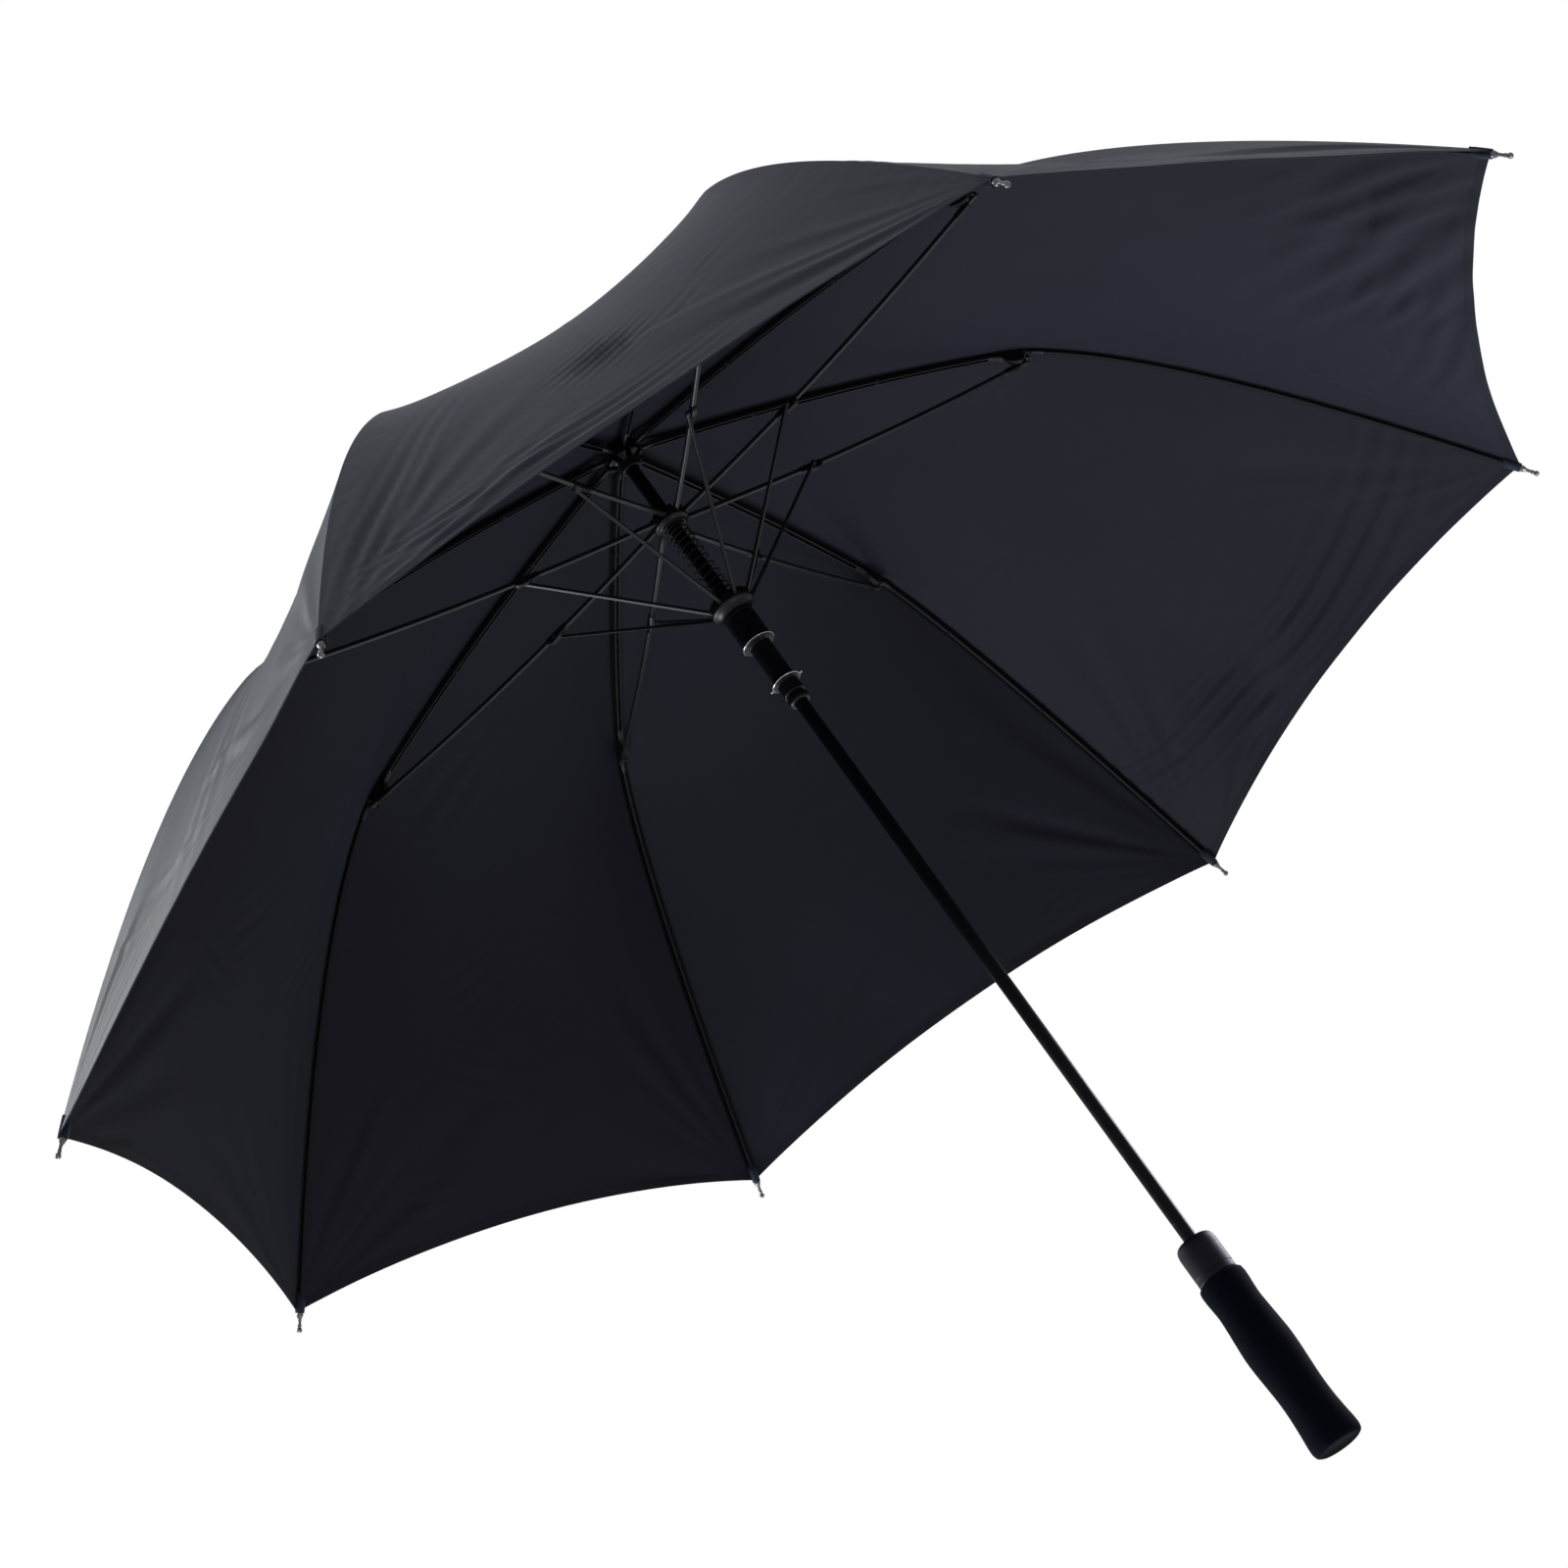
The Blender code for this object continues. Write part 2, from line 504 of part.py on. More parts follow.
# ---------------------------------------------------------------- canopy cloth
def cloth_line(count):
    """Points (radius, height) of the cloth's middle along a rib, crown to corner."""
    fine = []
    for i in range(1, 101):
        x, z, d = upper_axis(i / 100)
        off = FABRIC_OFF
        fine.append((x - sin(d) * off, z + cos(d) * off))
    last = at_length(CLOTH_END)
    for i in range(1, 121):
        x, z, d = lower_axis(last * i / 120)
        fine.append((x - sin(d) * FABRIC_OFF, z + cos(d) * FABRIC_OFF))
    fine = [(r, z) for r, z in fine if r > 0.040]
    start = [(CLOTH_START_R, 0.9272), (0.0120, 0.9272), (0.0165, 0.9270), (0.0210, 0.9262), (0.0280, 0.9246)]
    pts = np.array(start + fine)
    # one light smoothing rounds the cloth over the connector
    for _ in range(12):
        pts[6:-1] = 0.5 * pts[6:-1] + 0.25 * (pts[5:-2] + pts[7:])
    arc = np.concatenate([[0], np.cumsum(np.hypot(*np.diff(pts, axis=0).T))])
    # rows are set out from the connector both ways, so that one row lies over it
    bend = arc[np.argmin(np.abs(pts[:, 0] - ELBOW[0] - 0.0012))]
    inner = max(2, round((count - 1) * bend / arc[-1]))
    want = np.concatenate([np.linspace(0, bend, inner + 1), np.linspace(bend, arc[-1], count - inner)[1:]])
    return np.column_stack([np.interp(want, arc, pts[:, 0]), np.interp(want, arc, pts[:, 1])])


def membrane(rows, cols, hem_pull=0.85, lift=0.0):
    """A gore as a tensioned membrane between two fixed ribs: force-density
    equilibrium of a net whose hem is a tape under extra pull.  Returns
    points[row, column] from the rib at azimuth 0 to the rib at azimuth 45."""
    line = cloth_line(rows)
    ang = 2 * pi / RIBS
    fixed = np.zeros((rows, cols), bool)
    fixed[:, 0] = fixed[:, -1] = True
    fixed[0, :] = True
    pos = np.zeros((rows, cols, 3))
    for i, (r, z) in enumerate(line):
        for j, a in ((0, 0.0), (cols - 1, ang)):
            pos[i, j] = (r * cos(a), r * sin(a), z)
    for j in range(cols):
        a = ang * j / (cols - 1)
        pos[0, j] = (line[0, 0] * cos(a), line[0, 0] * sin(a), line[0, 1])
    step = np.hypot(*np.diff(line, axis=0).T)
    wide = 2 * line[:, 0] * sin(ang / 2) / (cols - 1)
    index = -np.ones((rows, cols), int)
    index[~fixed] = np.arange((~fixed).sum())
    n = (~fixed).sum()
    m, rhs = np.zeros((n, n)), np.zeros((n, 3))

    def join(a, b, q):
        for p, o in ((a, b), (b, a)):
            i = index[p]
            if i < 0:
                continue
            m[i, i] += q
            if index[o] >= 0:
                m[i, index[o]] -= q
            else:
                rhs[i] += q * pos[o]

    for i in range(rows):
        tall = (step[i - 1] if i else step[0]) / 2 + (step[i] if i < rows - 1 else 0) / 2
        for j in range(cols - 1):
            q = tall / wide[i]
            if i == rows - 1:
                q += hem_pull / wide[i]
            join((i, j), (i, j + 1), q)
        if i < rows - 1:
            w = (wide[i] + wide[i + 1]) / 2
            for j in range(1, cols - 1):
                join((i, j), (i + 1, j), w / step[i])
    sol = np.linalg.solve(m, rhs)
    pos[~fixed] = sol
    return pos


def build_panels():
    rows, cols = 12, 7
    net = membrane(rows, cols)
    half = cols // 2 + 1
    right = net[:, :half].copy()
    mid = pi / RIBS
    edge = np.array([-sin(mid), cos(mid), 0.0])
    right[:, -1] -= edge * 0.0002                     # clear of the next panel
    left = right[:, 1:][:, ::-1] * np.array([1, -1, 1])
    sheet = np.concatenate([left, right], axis=1)     # columns from -22.5 to +22.5 degrees
    n = sheet.shape[1]
    normals = np.zeros_like(sheet)
    du = np.gradient(sheet, axis=0)
    dv = np.gradient(sheet, axis=1)
    normals = np.cross(du, dv)
    normals /= np.linalg.norm(normals, axis=2, keepdims=True)
    normals *= np.sign(normals[:, :, 2:3])
    # keep the edges' thickness in the plane between panels
    for j in (0, n - 1):
        e = edge * (1 if j else np.array([1, -1, 1]))
        normals[:, j] -= np.outer(normals[:, j] @ e, e)
        normals[:, j] /= np.linalg.norm(normals[:, j], axis=1, keepdims=True)
    bm = bmesh.new()
    up = [[bm.verts.new(sheet[i, j] + normals[i, j] * FABRIC_T / 2) for j in range(n)] for i in range(rows)]
    dn = [[bm.verts.new(sheet[i, j] - normals[i, j] * FABRIC_T / 2) for j in range(n)] for i in range(rows)]
    for i in range(rows - 1):
        for j in range(n - 1):
            bm.faces.new((up[i][j], up[i + 1][j], up[i + 1][j + 1], up[i][j + 1]))
            bm.faces.new((dn[i][j], dn[i][j + 1], dn[i + 1][j + 1], dn[i + 1][j]))
    rim = [(i, 0) for i in range(rows - 1)] + [(rows - 1, j) for j in range(n - 1)] + \
          [(i, n - 1) for i in range(rows - 1, 0, -1)] + [(0, j) for j in range(n - 1, 0, -1)]
    for a, b in zip(rim, rim[1:] + rim[:1]):
        bm.faces.new((up[a[0]][a[1]], up[b[0]][b[1]], dn[b[0]][b[1]], dn[a[0]][a[1]]))
    return finish("canopy_panel", bm, CLOTH, 60)


repeat(build_panels(), "canopy_panel", ELBOW)

print("travel %.5f hub %.5f ratio %.6f" % (RUNNER_TRAVEL, HUB_TRAVEL, HUB_TRAVEL / RUNNER_TRAVEL))
print("rib %.4f -> %.4f  stretcher %.4f -> %.4f  link %.4f -> %.4f  chord %.4f  flexed length %.4f" % (
    rib_deg, CLOSED_RIB_DEG, stretch_deg, closed_stretch_deg, link_deg, closed_link_deg, chord_deg, lower_len))
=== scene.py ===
"""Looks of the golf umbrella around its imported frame: sewn canopy, ribs, runners, spring, foam handle."""
import bpy
import bmesh
import numpy as np
from math import sin, cos, pi, radians, atan2, hypot, sqrt
from mathutils import Matrix, Vector


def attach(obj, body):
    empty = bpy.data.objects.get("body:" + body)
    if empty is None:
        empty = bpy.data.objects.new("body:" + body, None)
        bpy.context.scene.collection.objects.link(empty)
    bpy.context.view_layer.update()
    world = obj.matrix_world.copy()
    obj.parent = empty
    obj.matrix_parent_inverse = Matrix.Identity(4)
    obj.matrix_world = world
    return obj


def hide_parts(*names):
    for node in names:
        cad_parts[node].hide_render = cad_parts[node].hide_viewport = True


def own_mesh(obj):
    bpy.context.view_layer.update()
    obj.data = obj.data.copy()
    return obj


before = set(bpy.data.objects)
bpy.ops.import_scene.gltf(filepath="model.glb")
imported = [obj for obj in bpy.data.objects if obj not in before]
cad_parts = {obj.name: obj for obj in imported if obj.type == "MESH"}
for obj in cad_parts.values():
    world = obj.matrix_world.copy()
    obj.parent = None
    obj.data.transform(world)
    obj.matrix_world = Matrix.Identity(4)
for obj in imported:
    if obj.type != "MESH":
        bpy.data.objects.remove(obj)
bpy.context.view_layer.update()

# ---------------------------------------------------------------- the CAD's dimensions
RIBS = 8
TIP_R, TIP_Z = 0.630, 0.584
SHAFT_R = 0.0051
SLIDE_R = 0.0055
CROWN = (0.0125, 0.9205)
ELBOW = (0.3340, 0.8675)
PIVOT_DROP = 0.0070
RIB_BOW = 0.0070
ROD_R = 0.00165
LEAVE_DEG, ARRIVE_DEG = 25.0, 51.0
HUB = (0.0120, 0.8505)
STRETCH_SIDE = 0.00425
STRETCH_SAG = 0.0052
LINK_AT = (0.1150, -0.0050)
RUNNER_PIVOT = (0.0165, 0.7620)
LINK_SIDE = 0.0007
LATCH_Z = 0.1575
BUTTON_DEG = 100.0
TRAVEL = 0.51423
CLOTH_END = 0.0130
FINE = 0.00035                # cloth thickness as shown
HEM = 0.0072                  # folded hem
SEAM = 0.0042                 # seam allowance each side of a rib


def upper_axis(t):
    e = Vector((ELBOW[0] - CROWN[0], ELBOW[1] - CROWN[1]))
    n = Vector((-e.y, e.x)).normalized()
    p = Vector(CROWN) + e * t + n * (4 * RIB_BOW * t * (1 - t))
    d = e + n * (4 * RIB_BOW * (1 - 2 * t))
    return p.x, p.y, atan2(d.y, d.x)


def _flex():
    a, b = radians(LEAVE_DEG), radians(ARRIVE_DEG)
    m = np.array([[cos(a), cos(b)], [-sin(a), -sin(b)]])
    s = np.linalg.solve(m, np.array([TIP_R - ELBOW[0], TIP_Z - ELBOW[1]]))
    return Vector((ELBOW[0] + s[0] * cos(a), ELBOW[1] - s[0] * sin(a)))


FLEX = _flex()


def lower_axis(t):
    a, b, c = Vector(ELBOW), FLEX, Vector((TIP_R, TIP_Z))
    p = a * (1 - t) ** 2 + b * (2 * t * (1 - t)) + c * t * t
    d = (b - a) * (1 - t) + (c - b) * t
    return p.x, p.y, atan2(d.y, d.x)


def before_tip(s):
    """Curve parameter at arc length s before the tip ball."""
    t, left = 1.0, s
    while left > 0:
        left -= (Vector(lower_axis(t)[:2]) - Vector(lower_axis(t - 0.0005)[:2])).length
        t -= 0.0005
    return t


RIB_LEN = hypot(ELBOW[0] - CROWN[0], CROWN[1] - ELBOW[1])
RIB_TILT = atan2(CROWN[1] - ELBOW[1], ELBOW[0] - CROWN[0])
CHORD_TILT = atan2(ELBOW[1] - TIP_Z, TIP_R - ELBOW[0])
PIVOT = (ELBOW[0] - PIVOT_DROP * sin(RIB_TILT), ELBOW[1] - PIVOT_DROP * cos(RIB_TILT))
STRETCH_LEN = hypot(PIVOT[0] - HUB[0], PIVOT[1] - HUB[1])
STRETCH_TILT = atan2(PIVOT[1] - HUB[1], PIVOT[0] - HUB[0])
LINK_TOP = (HUB[0] + LINK_AT[0] * cos(STRETCH_TILT) - LINK_AT[1] * sin(STRETCH_TILT),
            HUB[1] + LINK_AT[0] * sin(STRETCH_TILT) + LINK_AT[1] * cos(STRETCH_TILT))
LINK_LEN = hypot(LINK_TOP[0] - RUNNER_PIVOT[0], LINK_TOP[1] - RUNNER_PIVOT[1])
LINK_TILT = atan2(LINK_TOP[1] - RUNNER_PIVOT[1], LINK_TOP[0] - RUNNER_PIVOT[0])


def stretch_axis(t):
    u, v = STRETCH_LEN * t, -4 * STRETCH_SAG * t * (1 - t)
    x = HUB[0] + u * cos(STRETCH_TILT) - v * sin(STRETCH_TILT)
    z = HUB[1] + u * sin(STRETCH_TILT) + v * cos(STRETCH_TILT)
    return x, z, STRETCH_TILT + atan2(-4 * STRETCH_SAG * (1 - 2 * t), STRETCH_LEN)


# ---------------------------------------------------------------- camera
CAM_POS = Vector((0.82993, -2.37455, -0.54842))
rv = np.array([1.16764517, -0.156439375, -0.86411117])
th = np.linalg.norm(rv)
K = np.array([[0, -rv[2], rv[1]], [rv[2], 0, -rv[0]], [-rv[1], rv[0], 0]]) / th
ROT = np.eye(3) + sin(th) * K + (1 - cos(th)) * K @ K
tr = np.array([0.0874921, 0.000596303, 4.37868274])
CAM_POS = Vector(0.63 * (-ROT.T @ tr) + np.array([0, 0, 0.584]))
cam_data = bpy.data.cameras.new("camera")
cam_data.lens, cam_data.sensor_width = 88.38, 36.0
cam_data.clip_start, cam_data.clip_end = 0.05, 200.0
cam = bpy.data.objects.new("camera", cam_data)
bpy.context.scene.collection.objects.link(cam)
CAM_ROT = Matrix((ROT.T @ np.diag([1.0, -1.0, -1.0])).tolist())
cam.matrix_world = Matrix.Translation(CAM_POS) @ CAM_ROT.to_4x4()
bpy.context.scene.camera = cam


# ---------------------------------------------------------------- materials
class Nodes:
    """Short hand for building one material's node tree."""

    def __init__(self, name):
        self.m = bpy.data.materials.new(name)
        self.m.use_nodes = True
        self.t = self.m.node_tree
        self.b = self.t.nodes["Principled BSDF"]

    def add(self, kind, **kw):
        n = self.t.nodes.new(kind)
        for k, v in kw.items():
            setattr(n, k, v)
        return n

    def link(self, a, b):
        self.t.links.new(a, b)

    def math(self, op, a, b=None, clamp=False):
        n = self.add("ShaderNodeMath", operation=op, use_clamp=clamp)
        for i, v in enumerate((a, b)):
            if v is None:
                continue
            if isinstance(v, (int, float)):
                n.inputs[i].default_value = v
            else:
                self.link(v, n.inputs[i])
        return n.outputs[0]

    def coords(self):
        return self.add("ShaderNodeTexCoord").outputs["Object"]

    def noise(self, scale, detail=3.0, rough=0.55, vector=None, stretch=None):
        v = vector or self.coords()
        if stretch:
            mp = self.add("ShaderNodeMapping")
            mp.inputs["Scale"].default_value = stretch
            self.link(v, mp.inputs["Vector"])
            v = mp.outputs["Vector"]
        n = self.add("ShaderNodeTexNoise")
        n.inputs["Scale"].default_value = scale
        n.inputs["Detail"].default_value = detail
        n.inputs["Roughness"].default_value = rough
        self.link(v, n.inputs["Vector"])
        return n.outputs["Fac"]

    def ramp(self, fac, stops):
        n = self.add("ShaderNodeValToRGB")
        r = n.color_ramp
        while len(r.elements) < len(stops):
            r.elements.new(0.5)
        for e, (p, c) in zip(r.elements, stops):
            e.position = p
            e.color = (*c, 1.0) if len(c) == 3 else c
        self.link(fac, n.inputs["Fac"])
        return n.outputs["Color"]

    def spread(self, fac, lo, hi):
        n = self.add("ShaderNodeMapRange")
        n.inputs["To Min"].default_value, n.inputs["To Max"].default_value = lo, hi
        self.link(fac, n.inputs["Value"])
        return n.outputs["Result"]

    def mix(self, fac, a, b):
        n = self.add("ShaderNodeMix", data_type="RGBA")
        self.link(fac, n.inputs["Factor"])
        for sock, v in ((n.inputs[6], a), (n.inputs[7], b)):
            if isinstance(v, tuple):
                sock.default_value = (*v, 1.0)
            else:
                self.link(v, sock)
        return n.outputs[2]

    def bump(self, height, strength, distance, under=None):
        n = self.add("ShaderNodeBump")
        n.inputs["Strength"].default_value = strength
        n.inputs["Distance"].default_value = distance
        self.link(height, n.inputs["Height"])
        if under is not None:
            self.link(under, n.inputs["Normal"])
        return n.outputs["Normal"]

    def finish(self, colour=None, rough=None, normal=None, **values):
        for sock, v in (("Base Color", colour), ("Roughness", rough), ("Normal", normal)):
            if v is None:
                continue
            if isinstance(v, (tuple, float, int)):
                self.b.inputs[sock].default_value = (*v, 1.0) if isinstance(v, tuple) else v
            else:
                self.link(v, self.b.inputs[sock])
        for k, v in values.items():
            self.b.inputs[k.replace("_", " ")].default_value = v
        return self.m


def cloth_material(name, dark, light, rough, sheen, sheen_tint, spec, seam_shade=0.0):
    """Plain woven pongee: fine weave, slubs, faint mottling, lock stitch along seams and hem."""
    n = Nodes(name)
    uv = n.add("ShaderNodeUVMap", uv_map="weave").outputs["UV"]
    edge = n.add("ShaderNodeUVMap", uv_map="edges").outputs["UV"]
    sep = n.add("ShaderNodeSeparateXYZ")
    n.link(uv, sep.inputs[0])
    x, y = sep.outputs[0], sep.outputs[1]
    sep2 = n.add("ShaderNodeSeparateXYZ")
    n.link(edge, sep2.inputs[0])
    d, h = sep2.outputs[0], sep2.outputs[1]
    # the weave: crossing warp and weft, 0.42 mm apart
    k = 2 * pi / 0.00042
    warp = n.math("SINE", n.math("MULTIPLY", x, k))
    weft = n.math("SINE", n.math("MULTIPLY", y, k))
    weave = n.math("ADD", n.math("MULTIPLY", warp, weft), n.math("MULTIPLY", n.math("ADD", warp, weft), 0.25))
    # slubs: thicker threads, drawn out along each thread direction
    slub_x = n.noise(1.0, 2.0, 0.5, uv, (2600.0, 60.0, 1.0))
    slub_y = n.noise(1.0, 2.0, 0.5, uv, (60.0, 2600.0, 1.0))
    slub = n.math("ADD", slub_x, slub_y)
    mottle = n.noise(9.0, 4.0, 0.6)
    # lock stitch: a dashed line beside each seam and inside the hem
    def dashes(dist, along, centre, pitch):
        band = n.math("LESS_THAN", n.math("ABSOLUTE", n.math("SUBTRACT", dist, centre)), 0.00032)
        phase = n.math("FRACT", n.math("DIVIDE", along, pitch))
        return n.math("MULTIPLY", band, n.math("LESS_THAN", phase, 0.68))
    stitch = n.math("MAXIMUM", dashes(d, y, 0.0016, 0.0030), dashes(h, x, HEM - 0.0012, 0.0030))
    fleck = n.math("ADD", n.math("MULTIPLY", slub, 0.55), n.math("MULTIPLY", mottle, 0.45))
    colour = n.mix(n.spread(fleck, -0.25, 1.1), dark, light)
    if seam_shade:
        # painted shade: seam allowance and folded hem darkened in the colour, standing in for the light that several
        # layers of cloth hold back
        def inside(dist, edge):
            m = n.add("ShaderNodeMapRange")
            m.inputs["From Min"].default_value, m.inputs["From Max"].default_value = edge + 0.0006, edge - 0.0006
            n.link(dist, m.inputs["Value"])
            return m.outputs["Result"]
        shade_band = n.math("MAXIMUM", inside(d, SEAM + 0.0006), n.math("MULTIPLY", inside(h, HEM), 0.22))
        colour = n.mix(n.math("MULTIPLY", shade_band, seam_shade), colour, tuple(c * 0.25 for c in dark))
    colour = n.mix(n.math("MULTIPLY", stitch, 0.55), colour, tuple(c * 0.45 for c in dark))
    rough_out = n.spread(n.math("ADD", n.math("MULTIPLY", mottle, 0.5), n.math("MULTIPLY", slub, 0.25)),
                         rough - 0.07, rough + 0.07)
    height = n.math("ADD", n.math("MULTIPLY", weave, 0.4), n.math("MULTIPLY", slub, 0.8))
    fine = n.bump(height, 0.20, 0.00008)
    fine = n.bump(stitch, 0.7, 0.00025, fine)
    soft = n.bump(n.noise(38.0, 3.0, 0.5), 0.22, 0.0016, fine)
    m = n.finish(colour, rough_out, soft)
    b = n.b
    b.inputs["Sheen Weight"].default_value = sheen
    b.inputs["Sheen Roughness"].default_value = 0.38
    b.inputs["Sheen Tint"].default_value = (*sheen_tint, 1.0)
    b.inputs["Specular IOR Level"].default_value = spec
    return m


CLOTH_OUT = cloth_material("cloth_outer", (0.0030, 0.0036, 0.0072), (0.0064, 0.0074, 0.0132), 0.60, 0.041, (0.64, 0.74, 1.0), 0.066)
# the inner face carries the painted shade band over seam allowance and hem
CLOTH_IN = cloth_material("cloth_inner", (0.0030, 0.0030, 0.0052), (0.0056, 0.0056, 0.0092), 0.60, 0.020, (0.70, 0.78, 1.0), 0.035, seam_shade=0.85)


def hard_material(name, dark, light, rough, metal=0.0, grain=900.0, depth=0.00003, coat=0.0, spec=0.5, wear=None, streak=None):
    """Moulded, painted or drawn surface: tone variation, fine texture, worn edges."""
    n = Nodes(name)
    tone = n.noise(60.0, 4.0, 0.6, stretch=streak)
    colour = n.mix(tone, dark, light)
    if wear:
        point = n.add("ShaderNodeNewGeometry").outputs["Pointiness"]
        edge = n.ramp(point, [(0.515, (0, 0, 0)), (0.60, (1, 1, 1))])
        broken = n.math("MULTIPLY", edge, n.spread(n.noise(420.0, 3.0), -0.4, 1.2), clamp=True)
        colour = n.mix(n.math("MULTIPLY", broken, 0.6), colour, wear)
    rough_out = n.spread(n.noise(260.0, 3.0, 0.6, stretch=streak), rough - 0.06, rough + 0.07)
    normal = n.bump(n.noise(grain, 2.0, 0.5, stretch=streak), 0.35, depth)
    m = n.finish(colour, rough_out, normal, Metallic=metal)
    n.b.inputs["Coat Weight"].default_value = coat
    n.b.inputs["Coat Roughness"].default_value = 0.15
    n.b.inputs["Specular IOR Level"].default_value = spec
    return m


STEEL = hard_material("enamelled_steel", (0.0020, 0.0021, 0.0030), (0.0042, 0.0044, 0.0058), 0.30, 0.0, 1300.0, 0.00002,
                      spec=0.13, wear=(0.020, 0.020, 0.024))
SHAFT_MAT = hard_material("shaft_enamel", (0.0007, 0.0008, 0.0014), (0.0016, 0.0018, 0.0030), 0.30, 0.0, 900.0, 0.00002,
                          spec=0.055, streak=(1.0, 1.0, 0.08))
RESIN = hard_material("rod_resin", (0.0010, 0.0010, 0.0016), (0.0024, 0.0024, 0.0034), 0.46, 0.0, 1500.0, 0.00002, spec=0.060)
PLASTIC = hard_material("black_nylon", (0.0014, 0.0014, 0.0020), (0.0030, 0.0030, 0.0040), 0.32, 0.0, 2200.0, 0.00003,
                        spec=0.10, wear=(0.0085, 0.0085, 0.0110))
NICKEL = hard_material("tip_nickel", (0.045, 0.045, 0.050), (0.085, 0.085, 0.092), 0.24, 0.9, 1800.0, 0.00001,
                       wear=(0.34, 0.34, 0.36))
SPRING_MAT = hard_material("spring_steel", (0.0012, 0.0012, 0.0018), (0.0030, 0.0030, 0.0040), 0.48, 0.0, 2200.0, 0.00001, spec=0.06)
WIRE_MAT = hard_material("binding_wire", (0.012, 0.012, 0.014), (0.026, 0.026, 0.030), 0.34, 0.8, 2200.0, 0.00001, spec=0.15)
CHROME = hard_material("dark_chrome", (0.16, 0.16, 0.175), (0.24, 0.24, 0.26), 0.17, 1.0, 1500.0, 0.00001)
RIVET = hard_material("rivet_steel", (0.008, 0.008, 0.010), (0.018, 0.018, 0.021), 0.34, 0.6, 1600.0, 0.00001, spec=0.15)
RING_MAT = hard_material("ring_nylon", (0.0055, 0.0055, 0.0075), (0.0090, 0.0090, 0.0115), 0.24, 0.0, 1800.0, 0.00002,
                         spec=0.30, wear=(0.10, 0.10, 0.11))
COLLAR_MAT = hard_material("collar_soft_gloss", (0.0014, 0.0012, 0.0036), (0.0024, 0.0022, 0.0058), 0.48, 0.0, 1500.0, 0.00001,
                           spec=0.075)
BUTTON_MAT = hard_material("button_nylon", (0.0200, 0.0200, 0.0240), (0.0300, 0.0300, 0.0350), 0.36, 0.0, 1400.0, 0.00003,
                           spec=0.20, wear=(0.06, 0.06, 0.066))
LATCH_MAT = hard_material("latch_zinc", (0.22, 0.21, 0.19), (0.34, 0.33, 0.31), 0.36, 1.0, 900.0, 0.00003, streak=(1, 6, 1))
CORE_MAT = hard_material("core_nylon", (0.005, 0.005, 0.0065), (0.009, 0.009, 0.011), 0.45, 0.0, 1200.0, 0.00004, spec=0.2)
THREAD = hard_material("thread_black", (0.003, 0.003, 0.004), (0.008, 0.008, 0.010), 0.75, 0.0, 3000.0, 0.00006, spec=0.08,
                       streak=(1, 1, 5))


def foam_material():
    """Closed-cell foam: pores of 0.6 to 1.5 mm under a scuffed, slightly dusty skin, the pits painted darker as shade.
    """
    n = Nodes("grip_foam")
    v = n.coords()
    big = n.add("ShaderNodeTexVoronoi", feature="F1")
    big.inputs["Scale"].default_value = 900.0
    small = n.add("ShaderNodeTexVoronoi", feature="SMOOTH_F1")
    small.inputs["Scale"].default_value = 2100.0
    for o in (big, small):
        n.link(v, o.inputs["Vector"])
    cells = n.math("ADD", big.outputs["Distance"], n.math("MULTIPLY", small.outputs["Distance"], 0.5))
    scuff = n.noise(55.0, 5.0, 0.65)
    # partly painted shade: the colour follows the pore cells, darker down in the pits where the bump sinks; the scuff
    # noise adds random tone
    colour = n.mix(n.math("MULTIPLY", n.math("ADD", cells, scuff), 0.5), (0.0003, 0.0004, 0.0013), (0.0009, 0.0013, 0.0036))
    normal = n.bump(cells, 0.55, 0.00022)
    normal = n.bump(n.noise(90.0, 4.0), 0.25, 0.0008, normal)
    m = n.finish(colour, n.spread(scuff, 0.80, 0.97), normal)
    n.b.inputs["Specular IOR Level"].default_value = 0.024
    n.b.inputs["Sheen Weight"].default_value = 0.002
    n.b.inputs["Sheen Roughness"].default_value = 0.5
    return m


FOAM = foam_material()


# ---------------------------------------------------------------- mesh helpers
def make(name, me, mats, smooth=40.0):
    for m in (mats if isinstance(mats, (list, tuple)) else [mats]):
        me.materials.append(m)
    me.shade_smooth()
    me.set_sharp_from_angle(angle=radians(smooth))
    ob = bpy.data.objects.new(name, me)
    bpy.context.scene.collection.objects.link(ob)
    return ob


def to_mesh(bm, name):
    bmesh.ops.remove_doubles(bm, verts=bm.verts, dist=1e-7)
    bmesh.ops.recalc_face_normals(bm, faces=bm.faces)
    if bm.calc_volume(signed=True) < 0:
        bmesh.ops.reverse_faces(bm, faces=bm.faces)
    me = bpy.data.meshes.new(name)
    bm.to_mesh(me)
    bm.free()
    return me


def rounded(points, radius, closed=False, n=3):
    """Fillet a 2-D polyline's corners."""
    out, count = [], len(points)
    for i, p in enumerate(points):
        if not closed and i in (0, count - 1):
            out.append(tuple(p))
            continue
        a, b, c = Vector(points[i - 1]), Vector(p), Vector(points[(i + 1) % count])
        r = min(radius, (a - b).length * 0.42, (c - b).length * 0.42)
        if (b - a).length < 1e-9 or (c - b).length < 1e-9 or abs((b - a).normalized().cross((c - b).normalized())) < 0.12:
            out.append(tuple(p))
            continue
        s, e = b + (a - b).normalized() * r, b + (c - b).normalized() * r
        for j in range(n + 1):
            t = j / n
            q = s * (1 - t) ** 2 + b * 2 * t * (1 - t) + e * t * t
            out.append((q.x, q.y))
    return out


